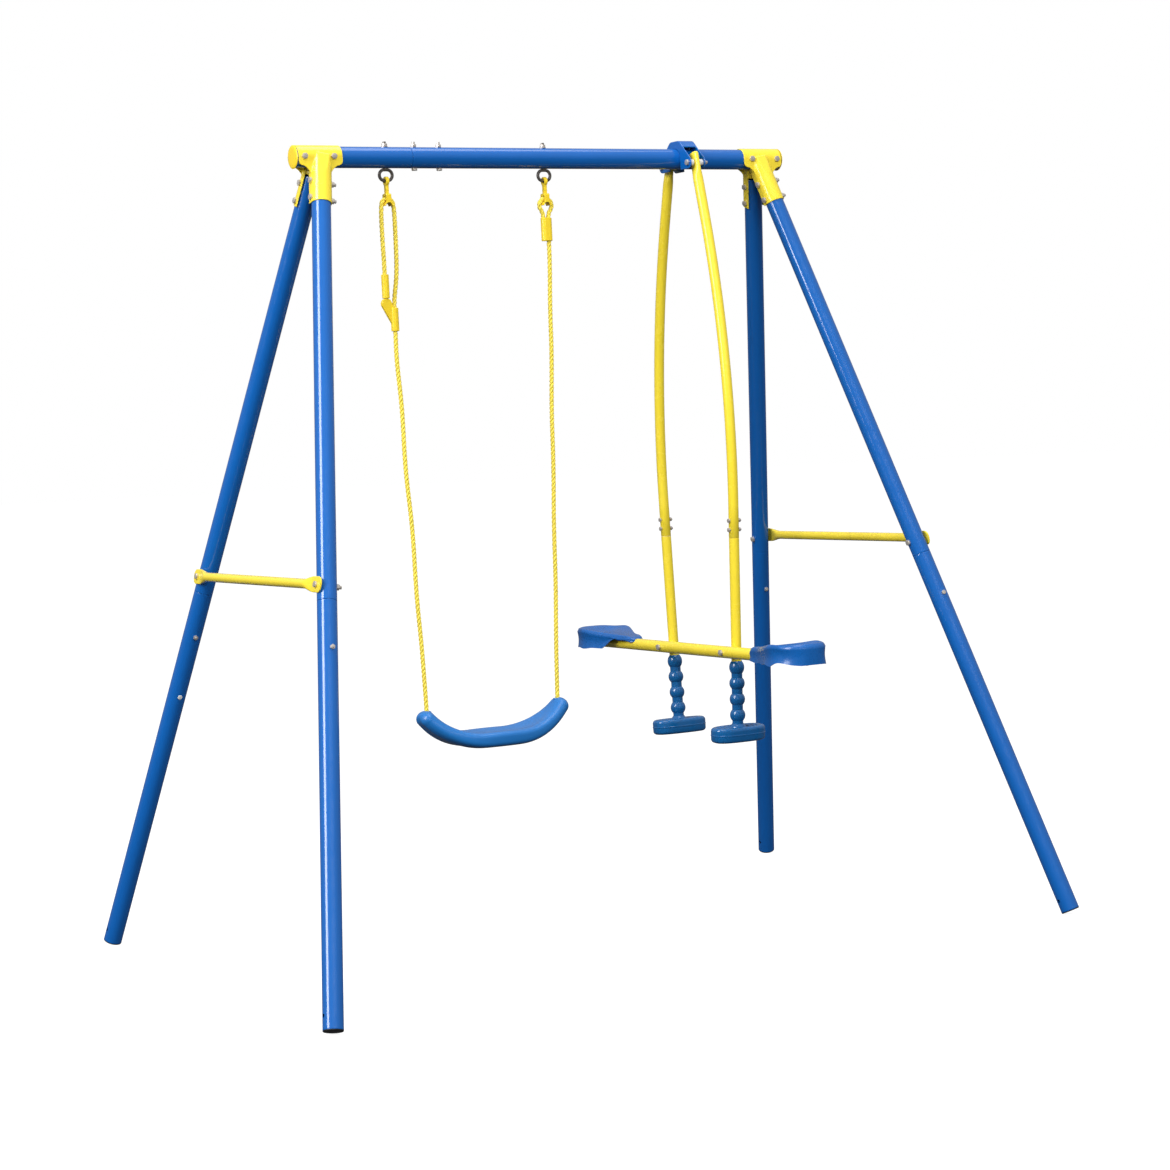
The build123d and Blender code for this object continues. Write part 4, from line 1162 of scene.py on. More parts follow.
@dataclass
class Crossbars:
    """Two tubes with pressed fishtail ends, low on each A-frame."""

    palette: Palette
    leg_radius: float = 0.0225
    down: float = 1.056
    radius: float = 0.011
    tab: float = 0.0036
    tab_wide: float = 0.036
    tab_long: float = 0.030
    taper: float = 0.048
    faces: int = 48

    def rings(self, side: Side) -> list[Ring]:
        """Sections of one bar, from its front tip to its back tip.

        Args:
            side: End of the set that the bar is on.

        Returns:
            The sections in order.
        """
        line = LegLine(side, End.BACK)
        out = line.outboard
        back = line.at(self.down)
        front = Vector((back.x, -back.y, back.z))
        middle = (front + back) / 2 + out * (self.leg_radius + self.tab / 2)
        half = (back - front).length / 2
        tube = half - self.tab_long / 2 - self.taper
        up = out.cross(ALONG_Y).normalized()
        sizes: list[tuple[float, float, float, float]] = []
        tip = half + self.tab_long * 0.75
        for step in range(7):
            turn = QUARTER_TURN * step / 6
            reach = tip - self.tab_long * 0.5 * (1 - math.sin(turn))
            half_wide = max(0.002, self.tab_wide / 2 * math.cos(turn) ** 0.6)
            sizes.append((reach, self.tab / 2, half_wide, 5.0))
        sizes = sizes[::-1]
        sizes.append((half - self.tab_long / 2, self.tab / 2, self.tab_wide / 2, 4.0))
        for step in range(1, 13):
            share = step / 12
            part = ease(share)
            a = self.tab / 2 + (self.radius - self.tab / 2) * part
            b = self.tab_wide / 2 + (self.radius - self.tab_wide / 2) * part
            sizes.append((half - self.tab_long / 2 - self.taper * share, a, b, 4.0 - 2.0 * part))
        near_ends = [
            ellipse_ring(middle - ALONG_Y * y, out, up, a, b, p, self.faces)
            for y, a, b, p in sizes
        ]
        far_ends = [
            ellipse_ring(middle + ALONG_Y * y, out, up, a, b, p, self.faces)
            for y, a, b, p in reversed(sizes)
        ]
        middle_rings = [
            ellipse_ring(
                middle + ALONG_Y * tube * k / 4, out, up, self.radius, self.radius, 2.0, self.faces
            )
            for k in range(-3, 4)
        ]
        return near_ends + middle_rings + far_ends

    def build(self) -> None:
        """Make both bars."""
        for side in Side:
            label = side.name.lower()
            place_piece(
                f"crossbar_tube_{label}", skin(self.rings(side)), self.palette.yellow_enamel,
                "frame", [f"crossbar_{label}"], CREASE_PRESSED,
            )


@dataclass
class Hardware:
    """Bolts, nuts, washers, eyes and small plugs, with their edges broken."""

    palette: Palette
    edge: float = 0.0004

    def build(self) -> None:
        """Dress every fastener."""
        zinc, dark, white = self.palette.zinc, self.palette.dark_steel, self.palette.white_plastic
        groups = (
            (zinc, "frame", (
                "beam_joint_bolts", "bracket_beam_bolts", "leg_clamp_bolts", "leg_joint_bolts",
                "crossbar_bolts", "eye_bolt_nuts",
            )),
            (dark, "frame", ("eye_bolt_left", "eye_bolt_right")),
            (zinc, "frame", ("hanger_pivot_bolts",)),
            (white, "frame", ("hanger_pivot_bushes", "spare_hole_plug")),
            (zinc, "glider_hanger_near", ("hanger_joint_bolts_near",)),
            (zinc, "glider_hanger_far", ("hanger_joint_bolts_far", "far_pivot_nut")),
            (zinc, "glider_bar", ("bar_pivot_bolts", "bar_spacer_washers")),
            (dark, "glider_bar", ("glider_seat_bolts",)),
        )
        for coat, body, nodes in groups:
            for node in nodes:
                mesh = bevelled(copied_mesh(node), self.edge)
                place_piece(f"{node}_dressed", mesh, coat, body, [node], CREASE_FASTENER)


# ---------------------------------------------------------------- swing


@dataclass
class SwingRopes:
    """Two laid ropes with their hooks, sleeves and the length adjuster."""

    palette: Palette
    diameter: float = 0.010
    strand_radius: float = 0.0030
    lay_radius: float = 0.0027
    turns_per_metre: float = 30.0
    step: float = 0.003
    grain: float = 0.0006
    passes: int = 6

    LEFT_ROUTE = [
        (-0.401, 0.0, 0.580), (-0.403, 0.001, 0.715), (-0.413, -0.001, 0.865),
        (-0.412, 0.001, 1.015), (-0.425, -0.001, 1.165), (-0.423, 0.001, 1.305),
        (-0.432, 0.0, 1.420), (-0.431, 0.0, 1.480), (-0.4315, 0.0, 1.560),
        (-0.419, 0.0, 1.625), (-0.4175, 0.0005, 1.720), (-0.418, 0.0, 1.793),
        (-0.42796, 0.0, 1.803), (-0.44204, 0.0, 1.803), (-0.452, 0.0, 1.793),
        (-0.4525, 0.0005, 1.715), (-0.451, 0.0, 1.645), (-0.4515, 0.0, 1.578),
    ]
    RIGHT_ROUTE = [
        (-0.043, 0.0, 0.580), (-0.040, -0.001, 0.715), (-0.031, 0.001, 0.860),
        (-0.030, -0.001, 1.005), (-0.021, 0.001, 1.150), (-0.0205, -0.001, 1.290),
        (-0.011, 0.001, 1.420), (-0.010, 0.0, 1.540), (-0.0045, 0.0, 1.640),
        (-0.004, 0.0, 1.702), (-0.0038, 0.0, 1.765), (0.008, 0.0, 1.780),
        (0.008, 0.0, 1.793), (-0.00196, 0.0, 1.803), (-0.01604, 0.0, 1.803),
        (-0.026, 0.0, 1.793), (-0.026, 0.0, 1.780), (-0.0142, 0.0, 1.765),
        (-0.014, 0.0, 1.702),
    ]

    def centreline(self, route: Sequence[tuple[float, float, float]]) -> list[Vector]:
        """Points along the smooth line of a route.

        Args:
            route: Control points of the line.

        Returns:
            The points.
        """
        curve = bpy.data.curves.new("route", "CURVE")
        curve.dimensions = "3D"
        curve.resolution_u = 16
        spline = curve.splines.new("NURBS")
        spline.points.add(len(route) - 1)
        for point, place in zip(spline.points, route):
            point.co = (*place, 1.0)
        spline.order_u = 3
        spline.use_endpoint_u = True
        holder = bpy.data.objects.new("route", curve)
        bpy.context.scene.collection.objects.link(holder)
        mesh = bpy.data.meshes.new_from_object(holder)
        points = [vertex.co.copy() for vertex in mesh.vertices]
        bpy.data.objects.remove(holder)
        bpy.data.meshes.remove(mesh)
        return points

    def rope(
        self,
        label: str,
        route: Sequence[tuple[float, float, float]],
        length: float,
        tree: PatternTree,
    ) -> None:
        """Lay one rope.

        Args:
            label: left or right.
            route: Control points, from the seat up.
            length: Real length in metres; not used.
            tree: The strand tree.
        """
        path = self.centreline(route)
        mesh = tree.grow(
            points_mesh(path, chain=True), Step=self.step, Strand_Radius=self.strand_radius,
            Lay_Radius=self.lay_radius, Turns=self.turns_per_metre,
            Finish=self.palette.rope.material,
        )
        piece = place_piece(
            f"laid_rope_{label}", mesh, self.palette.rope,
            "swing_ropes", [f"rope_{label}"], CREASE_MOULDED,
        )

    def build(self) -> None:
        """Make the ropes and what holds them."""
        tree = strand_tree()
        self.rope("left", self.LEFT_ROUTE, 1.469, tree)
        self.rope("right", self.RIGHT_ROUTE, 1.351, tree)
        mouldings = {
            "moulded_hook_left": "swing_hook_left",
            "moulded_sleeve_left": "rope_sleeve_left",
            "moulded_hook_right": "swing_hook_right",
            "moulded_sleeve_right": "rope_sleeve_right",
            "moulded_adjuster": "rope_adjuster",
        }
        for name, node in mouldings.items():
            place_piece(
                name, softened(node, self.grain, self.passes), self.palette.yellow_plastic,
                "swing_ropes", [node], CREASE_MOULDED,
            )


@dataclass
class BeltSeat:
    """Blow-moulded swing seat: a rounded belt, dished on top, with swollen tips."""

    palette: Palette
    centre_x: float = -0.222
    tip_x: float = 0.182
    tip_z: float = 0.562
    mid_z: float = 0.503
    knee_x: float = 0.120
    bend: float = 0.188
    thick: float = 0.042
    width: float = 0.140
    tip_width: float = 0.064
    dish: float = 0.011
    rope_x: float = 0.179
    collar_z: float = 0.5792
    collar_radius: float = 0.0092
    collar_height: float = 0.0045
    collar_round: float = 0.0022
    knot_squash: float = 0.86

    def spine(self) -> list[tuple[Vector, Vector]]:
        """Points and unit tangents along the seat, tip to tip.

        Returns:
            (point, tangent) pairs in order.
        """
        slope = math.atan2(self.tip_z - self.mid_z, self.tip_x - self.knee_x)
        tangent = self.bend * math.tan(slope / 2)
        flat = self.knee_x - tangent
        stations: list[tuple[Vector, Vector]] = []
        for step in range(9):
            x = flat * step / 8
            stations.append((Vector((x, 0, self.mid_z)), ALONG_X))
        for step in range(1, 15):
            turn = slope * step / 14
            place = Vector((
                flat + self.bend * math.sin(turn), 0, self.mid_z + self.bend * (1 - math.cos(turn))
            ))
            stations.append((place, Vector((math.cos(turn), 0, math.sin(turn)))))
        start, direction = stations[-1]
        end = Vector((self.tip_x, 0, self.tip_z))
        for step in range(1, 7):
            stations.append((start.lerp(end, step / 6), direction))
        mirrored = [
            (Vector((-p.x, 0, p.z)), Vector((t.x, 0, -t.z))) for p, t in reversed(stations[1:])
        ]
        return mirrored + stations

    def section(self, place: Vector, tangent: Vector, swell: float, push: float) -> Ring:
        """One section of the seat.

        Args:
            place: Centre of the section.
            tangent: Direction of the spine.
            swell: 1 for the full section, less towards a closed tip.
            push: Distance moved along the spine.

        Returns:
            The ring of points.
        """
        up = Vector((-tangent.z, 0, tangent.x))
        share = min(1.0, abs(place.x) / self.tip_x)
        half = (self.tip_width + (self.width - self.tip_width) * (1 - share ** 2.2)) / 2 * swell
        depth = self.thick / 2 * swell
        base = place + tangent * push + Vector((self.centre_x, 0, 0))
        ring = []
        count = 72
        dip = self.dish * max(0.0, 1 - share ** 3) * swell
        for i in range(count):
            angle = FULL_TURN * (i + 0.5) / count
            c, s = math.cos(angle), math.sin(angle)
            square = 0.5 + 0.5 * share ** 2
            across = math.copysign(abs(c) ** square, c)
            rise = math.copysign(abs(s) ** square, s)
            height = depth * rise
            if s > 0:
                height -= dip * max(0.0, 1 - (across / 0.86) ** 2) ** 1.4
            else:
                height += 0.004 * swell * max(0.0, 1 - (across / 0.5) ** 2)
            ring.append(base + up * height + ALONG_Y * across * half)
        return ring

    def build(self) -> None:
        """Make the seat, its rope collars and its knots."""
        stations = self.spine()
        rings: list[Ring] = []
        radius = self.thick / 2
        first, last = stations[0], stations[-1]
        for step in range(1, 11):
            turn = QUARTER_TURN * step / 10
            rings.append(self.section(*first, max(0.02, math.sin(turn)), -radius * math.cos(turn)))
        rings += [self.section(place, tangent, 1.0, 0.0) for place, tangent in stations[1:-1]]
        for step in range(10, 0, -1):
            turn = QUARTER_TURN * step / 10
            rings.append(self.section(*last, max(0.02, math.sin(turn)), radius * math.cos(turn)))
        seat = skin(rings)
        collars = []
        for sign in (-1, 1):
            centre = Vector((self.centre_x + sign * self.rope_x, 0, self.collar_z))
            base = centre - Vector((0, 0, self.collar_height))
            turns = [FULL_TURN * k / 16 for k in range(16)]
            profile = [
                (
                    self.collar_height + self.collar_round * math.sin(turn),
                    self.collar_radius + self.collar_round * math.cos(turn),
                )
                for turn in turns
            ]
            collars.append(lathe(profile, base, ALONG_Z, 48))
        place_piece(
            "belt_seat", join_meshes([seat, *collars]), self.palette.blue_plastic,
            "swing_seat", ["swing_seat"], CREASE_MOULDED,
        )
        knots = softened("seat_rope_knots", 0.0008, 4)
        top = Vector((0, 0, max(vertex.co.z for vertex in knots.vertices)))
        squash = Matrix.Scale(self.knot_squash, 4, (0, 0, 1))
        knots.transform(Matrix.Translation(top) @ squash @ Matrix.Translation(-top))
        place_piece(
            "belt_seat_knots", knots, self.palette.rope,
            "swing_seat", ["seat_rope_knots"], CREASE_MOULDED,
        )


# ---------------------------------------------------------------- glider


@dataclass
class Hangers:
    """Two bent hangers, each in an upper and a lower piece."""

    palette: Palette
    x: float = 0.388
    pivot_y: float = 0.062
    pivot_z: float = 1.886
    elbow_y: float = 0.1833
    elbow_z: float = 1.4007
    bar_y: float = 0.150
    bar_z: float = 0.668
    bend: float = 2.5
    radius: float = 0.0127
    tab: float = 0.0075
    tab_wide: float = 0.016
    tab_up: float = 0.026
    tab_down: float = 0.014
    taper: float = 0.030
    split: float = 0.2833
    end: float = 0.183
    wall: float = 0.0015
    lip: float = 0.0006
    faces: int = 56

    def upper_rings(self, sign: int) -> list[Ring]:
        """Sections of an upper piece, from its flattened top to the joint.

        Args:
            sign: Sign of Y of the hanger.

        Returns:
            The sections in order.
        """
        pivot = Vector((self.x, sign * self.pivot_y, self.pivot_z))
        elbow = Vector((self.x, sign * self.elbow_y, self.elbow_z))
        foot = Vector((self.x, sign * self.bar_y, self.bar_z))
        first, second = (elbow - pivot).normalized(), (foot - elbow).normalized()
        turn = first.angle(second)
        tangent = self.bend * math.tan(turn / 2)
        split = foot - second * self.split
        places: list[tuple[Vector, Vector, float, float, float]] = []
        for step in range(8):
            angle = QUARTER_TURN * step / 7
            shrink = math.sin(angle)
            reach = -self.tab_up + 0.006 * (1 - math.cos(angle))
            places.append((
                pivot + first * reach, first,
                max(0.001, (self.tab - 0.004) + 0.004 * shrink),
                max(0.001, self.tab_wide - 0.008 + 0.008 * shrink), 2.6,
            ))
        places.append((pivot + first * self.tab_down, first, self.tab, self.tab_wide, 2.4))
        for step in range(1, 9):
            share = step / 8
            part = ease(share)
            a = self.tab + (self.radius - self.tab) * part
            b = self.tab_wide + (self.radius - self.tab_wide) * part
            reach = self.tab_down + self.taper * share
            places.append((pivot + first * reach, first, a, b, 2.4 - 0.4 * part))
        arc_start = elbow - first * tangent
        across = (first.cross(ALONG_X)).normalized()
        inward = across if across.dot(second - first) > 0 else -across
        centre = arc_start + inward * self.bend
        axis = first.cross(second).normalized()
        for step in range(0, 41):
            spin = Matrix.Rotation(turn * step / 40, 3, axis)
            place = centre + spin @ (arc_start - centre)
            places.append((place, spin @ first, self.radius, self.radius, 2.0))
        places.append((split - second * self.lip, second, self.radius, self.radius, 2.0))
        places.append((split, second, self.radius - self.lip, self.radius - self.lip, 2.0))
        return [
            ellipse_ring(place, ALONG_X, direction.cross(ALONG_X), a, b, p, self.faces)
            for place, direction, a, b, p in places
        ]

    def build(self) -> None:
        """Make both hangers."""
        for rider in Rider:
            label, sign = rider.name.lower(), rider.value
            body = f"glider_hanger_{label}"
            place_piece(
                f"hanger_arm_{label}", skin(self.upper_rings(sign)), self.palette.yellow_enamel,
                body, [f"hanger_upper_{label}"], CREASE_PRESSED,
            )
            elbow = Vector((self.x, sign * self.elbow_y, self.elbow_z))
            foot = Vector((self.x, sign * self.bar_y, self.bar_z))
            down = (foot - elbow).normalized()
            lower = lathe(
                tube_profile(-self.split + 0.0003, self.end, self.radius, self.wall, self.lip),
                foot, down, TUBE_FACES,
            )
            place_piece(
                f"hanger_foot_{label}", lower, self.palette.yellow_enamel,
                body, [f"hanger_lower_{label}"], CREASE_WELDED,
            )


@dataclass
class Pedals:
    """Grip beads over an oval foot plate, on each hanger's end."""

    palette: Palette
    bead_radius: float = 0.01925
    pitch: float = 0.040
    first: float = 0.040
    count: int = 4
    core: float = 0.0136
    plate_down: float = 0.206
    long: float = 0.148
    wide: float = 0.074
    thick: float = 0.038
    roll: float = 0.009
    rib_high: float = 0.0022
    rib_places: tuple[float, ...] = (-0.050, -0.040, -0.030, 0.030, 0.040, 0.050)
    faces: int = 56

    def plate(self, middle: Vector, down: Vector) -> bpy.types.Mesh:
        """Oval plate with rolled edges, a parting ridge and a shallow tread.

        Args:
            middle: Middle of the plate.
            down: Unit vector down the hanger.

        Returns:
            The plate.
        """
        along, across = ALONG_X, down.cross(ALONG_X).normalized()
        half = self.thick / 2
        profile: list[tuple[float, float]] = [
            (-half + 0.0035, -0.030), (-half + 0.0035, -0.017),
            (-half + 0.0008, -0.0125), (-half, -0.010),
        ]
        for step in range(1, 9):
            turn = QUARTER_TURN * step / 8
            profile.append((
                -half + self.roll * (1 - math.cos(turn)), -self.roll * (1 - math.sin(turn))
            ))
        profile += [(-0.0016, 0.0), (-0.0008, 0.0008), (0.0008, 0.0008), (0.0016, 0.0)]
        for step in range(1, 9):
            turn = QUARTER_TURN * step / 8
            profile.append((
                half - self.roll * (1 - math.sin(turn)), -self.roll * (1 - math.cos(turn))
            ))
        profile += [(half, -0.014), (half - 0.003, -0.017), (half - 0.003, -0.030)]
        rings = []
        for height, inset in profile:
            rings.append(
                ellipse_ring(
                    middle + down * height, along, across,
                    self.long / 2 - 0.001 + inset, self.wide / 2 - 0.001 + inset, 2.7, 96,
                )
            )
        return skin(rings)

    def ribs(self, middle: Vector, down: Vector) -> list[bpy.types.Mesh]:
        """Raised tread bars on both ends of the plate.

        Args:
            middle: Middle of the plate.
            down: Unit vector down the hanger.

        Returns:
            One mesh for each bar.
        """
        across = down.cross(ALONG_X).normalized()
        top = middle - down * (self.thick / 2 - self.rib_high)
        bars = []
        for x in self.rib_places:
            reach = 0.018 if abs(x) > 0.045 else 0.021
            profile = [
                (-reach, 0.0), (-reach + 0.0008, 0.0016), (-reach + 0.003, self.rib_high),
                (reach - 0.003, self.rib_high), (reach - 0.0008, 0.0016), (reach, 0.0),
            ]
            bars.append(lathe(profile, top + Vector((x, 0, 0)), across, 20))
        return bars

    def build(self, hangers: Hangers) -> None:
        """Make both pedals on the hangers' axes.

        Args:
            hangers: The hangers that carry the pedals.
        """
        tree = bead_tree()
        for rider in Rider:
            label, sign = rider.name.lower(), rider.value
            elbow = Vector((hangers.x, sign * hangers.elbow_y, hangers.elbow_z))
            foot = Vector((hangers.x, sign * hangers.bar_y, hangers.bar_z))
            down = (foot - elbow).normalized()
            centres = [foot + down * (self.first + k * self.pitch) for k in range(self.count)]
            beads = tree.grow(
                points_mesh(centres[1:]), Bead_Radius=self.bead_radius, Squash=1.0,
                Finish=self.palette.grip_plastic.material,
            )
            barrel = tree.grow(
                points_mesh(centres[:1]), Bead_Radius=self.bead_radius - 0.0004, Squash=1.14,
                Finish=self.palette.grip_plastic.material,
            )
            top = self.first - self.bead_radius + 0.003
            profile = [
                (top, 0.0), (top, self.core - 0.001), (top + 0.001, self.core),
                (self.plate_down, self.core), (self.plate_down, 0.0),
            ]
            core = lathe(profile, foot, down, self.faces)
            collar_top = self.plate_down - self.thick / 2 - 0.006
            collar_profile = [
                (collar_top, 0.0), (collar_top, self.core + 0.001),
                (collar_top + 0.003, self.core + 0.003), (collar_top + 0.008, self.core + 0.008),
                (collar_top + 0.014, self.core + 0.009), (collar_top + 0.014, 0.0),
            ]
            collar = lathe(collar_profile, foot, down, self.faces)
            middle = foot + down * self.plate_down
            plate, ribs = self.plate(middle, down), self.ribs(middle, down)
            parts = [beads, barrel, core, collar, plate, *ribs]
            place_piece(
                f"foot_rest_{label}", join_meshes(parts), self.palette.grip_plastic,
                f"glider_hanger_{label}", [f"pedal_{label}"], CREASE_WELDED,
            )


@dataclass
class SaddleSeats:
    """Two moulded saddles, each with a narrow nose and a dished, rimmed back."""

    palette: Palette
    bar_x: float = 0.3583
    bar_z: float = 0.668
    nose: float = 0.278
    back: float = 0.534
    wide: float = 0.146
    nose_wide: float = 0.056
    corner: float = 0.012
    middle: float = 0.56
    wall: float = 0.0035
    top_rings: int = 26
    side_rings: int = 10
    plan_points: int = 160

    def half_width(self, share: float) -> float:
        """Half the width at a share of the way from the nose to the back."""
        narrow, full = self.nose_wide / 2, self.wide / 2
        return narrow + (full - narrow) * ease((share - 0.12) / 0.62)

    def height(self, share: float, lean: float) -> float:
        """Height of the top skin above the bar's axis.

        Args:
            share: 0 at the nose, 1 at the back.
            lean: 0 on the centre line, 1 at the rim.

        Returns:
            The height in metres.
        """
        rim = (
            0.019 + 0.006 * ease(share / 0.12) + 0.008 * ease((share - 0.18) / 0.3)
            + 0.014 * ease((share - 0.4) / 0.4)
        )
        middle = 0.0195 + 0.0045 * ease(share / 0.3)
        centre = middle + (rim - 0.006 - middle) * ease((share - 0.74) / 0.26)
        return centre + (rim - centre) * lean ** 2.4

    def hem(self, x: float, share: float) -> float:
        """Height of the skirt's lower edge above the bar's axis.

        Args:
            x: Sideways place; the two sides are cut differently.
            share: 0 at the nose, 1 at the back.

        Returns:
            The height in metres.
        """
        low = -0.0125 + 0.0014 * math.sin(share * 26)
        if x > 0:
            return low + 0.025 * (1 - ease((share - 0.26) / 0.2))
        low -= 0.002 * (1 - ease((share - 0.3) / 0.2))
        arch = max(0.0, 1 - ((share - 0.83) / 0.15) ** 2)
        return low + 0.007 * arch

    def outline(self, count: int) -> list[tuple[float, float]]:
        """Plan of the seat as (x, share) points, round from the back's middle.

        Args:
            count: Number of points.

        Returns:
            The points in order.
        """
        points: list[tuple[float, float]] = []
        half_count = count // 2
        for i in range(half_count):
            turn = math.pi * (i + 0.5) / half_count
            power = 0.76 if math.cos(turn) > 0 else 0.5
            share = 0.5 + 0.5 * math.copysign(abs(math.cos(turn)) ** power, math.cos(turn))
            edge = abs(math.sin(turn)) ** power
            points.append((self.half_width(share) * edge, share))
        return points + [(-x, share) for x, share in reversed(points)]

    def seat(self, sign: int) -> bpy.types.Mesh:
        """Mesh of one seat.

        Args:
            sign: Sign of Y of the seat.

        Returns:
            The seat with its wall.
        """
        length = self.back - self.nose
        plan = self.outline(self.plan_points)

        def world(x: float, share: float, height: float) -> Vector:
            """Place a point of the seat; the rider faces the middle of the set.

            Args:
                x: Sideways place.
                share: 0 at the nose, 1 at the back.
                height: Height above the bar's axis.

            Returns:
                The place in the set.
            """
            return Vector((
                self.bar_x - sign * x, sign * (self.nose + share * length), self.bar_z + height
            ))

        def top_ring(scale: float, sink: float) -> Ring:
            """Ring of the top skin, or of its underside when sunk.

            Args:
                scale: Size against the whole plan.
                sink: Depth below the top skin.

            Returns:
                The ring of points.
            """
            ring = []
            for x, share in plan:
                px = x * scale
                ps = self.middle + (share - self.middle) * scale
                lean = min(1.0, abs(px) / self.half_width(ps))
                fall = max(0.0, (scale - 0.86) / 0.14)
                drop = self.corner * (1 - math.sqrt(max(0.0, 1 - fall * fall)))
                ring.append(world(px, ps, self.height(ps, lean) - drop - sink))
            return ring

        def side_ring(part: float, inset: float, sink: float) -> Ring:
            """Ring of the skirt, from its top (0) to its hem (1).

            Args:
                part: 0 at the top of the skirt, 1 at its hem.
                inset: Distance inside the outer skin.
                sink: Depth below the top skin.

            Returns:
                The ring of points.
            """
            ring = []
            for x, share in plan:
                lean = min(1.0, abs(x) / self.half_width(share))
                top = self.height(share, lean) - self.corner - sink
                low = self.hem(x, share)
                flare = 1.0 - 0.05 * math.sin(math.pi * part)
                px = x * flare * (1 - inset / max(0.02, abs(x))) if abs(x) > inset else 0.0
                ps = self.middle + (share - self.middle) * (1 - inset / (0.45 * length))
                ring.append(world(px, ps, top + (low - top) * part))
            return ring

        scales = [step / self.top_rings for step in range(1, self.top_rings + 1)]
        levels = [level / self.side_rings for level in range(1, self.side_rings + 1)]
        rings: list[Ring] = [top_ring(scale, 0.0) for scale in scales]
        rings += [side_ring(part, 0.0, 0.0) for part in levels]
        rings += [side_ring(part, self.wall, self.wall) for part in reversed(levels)]
        rings += [top_ring(scale * 0.95, self.wall) for scale in reversed(scales)]
        return skin(rings)

    def build(self) -> None:
        """Make both seats."""
        for rider in Rider:
            label = rider.name.lower()
            place_piece(
                f"saddle_seat_{label}", self.seat(rider.value), self.palette.saddle_plastic,
                "glider_bar", [f"glider_seat_{label}"], CREASE_PRESSED,
            )


@dataclass
class GliderBar:
    """Level bar, an open tube with rounded rims, with a welded plate under each seat."""

    palette: Palette
    x: float = 0.3583
    z: float = 0.668
    radius: float = 0.015
    wall: float = 0.0015
    lip: float = 0.0006
    half: float = 0.508
    plate_y: float = 0.484
    plate_long: float = 0.080
    plate_wide: float = 0.040
    plate_thick: float = 0.003

    def build(self) -> None:
        """Make the bar."""
        bar = lathe(
            tube_profile(-self.half, self.half, self.radius, self.wall, self.lip),
            Vector((self.x, 0, self.z)), ALONG_Y, TUBE_FACES,
        )
        plates = []
        for sign in (-1, 1):
            rings = []
            height = self.z + self.radius + self.plate_thick / 2
            middle = Vector((self.x, sign * self.plate_y, height))
            for share, inset in ((-0.5, self.lip), (-0.35, 0.0), (0.35, 0.0), (0.5, self.lip)):
                rings.append(ellipse_ring(
                    middle + Vector((0, 0, share * self.plate_thick)), ALONG_X,
                    ALONG_Y, self.plate_long / 2 - inset, self.plate_wide / 2 - inset, 9.0, 64,
                ))
            plates.append(skin(rings))
        place_piece(
            "seat_bar", join_meshes([bar, *plates]), self.palette.yellow_enamel,
            "glider_bar", ["glider_bar"], CREASE_WELDED,
        )


# ---------------------------------------------------------------- studio


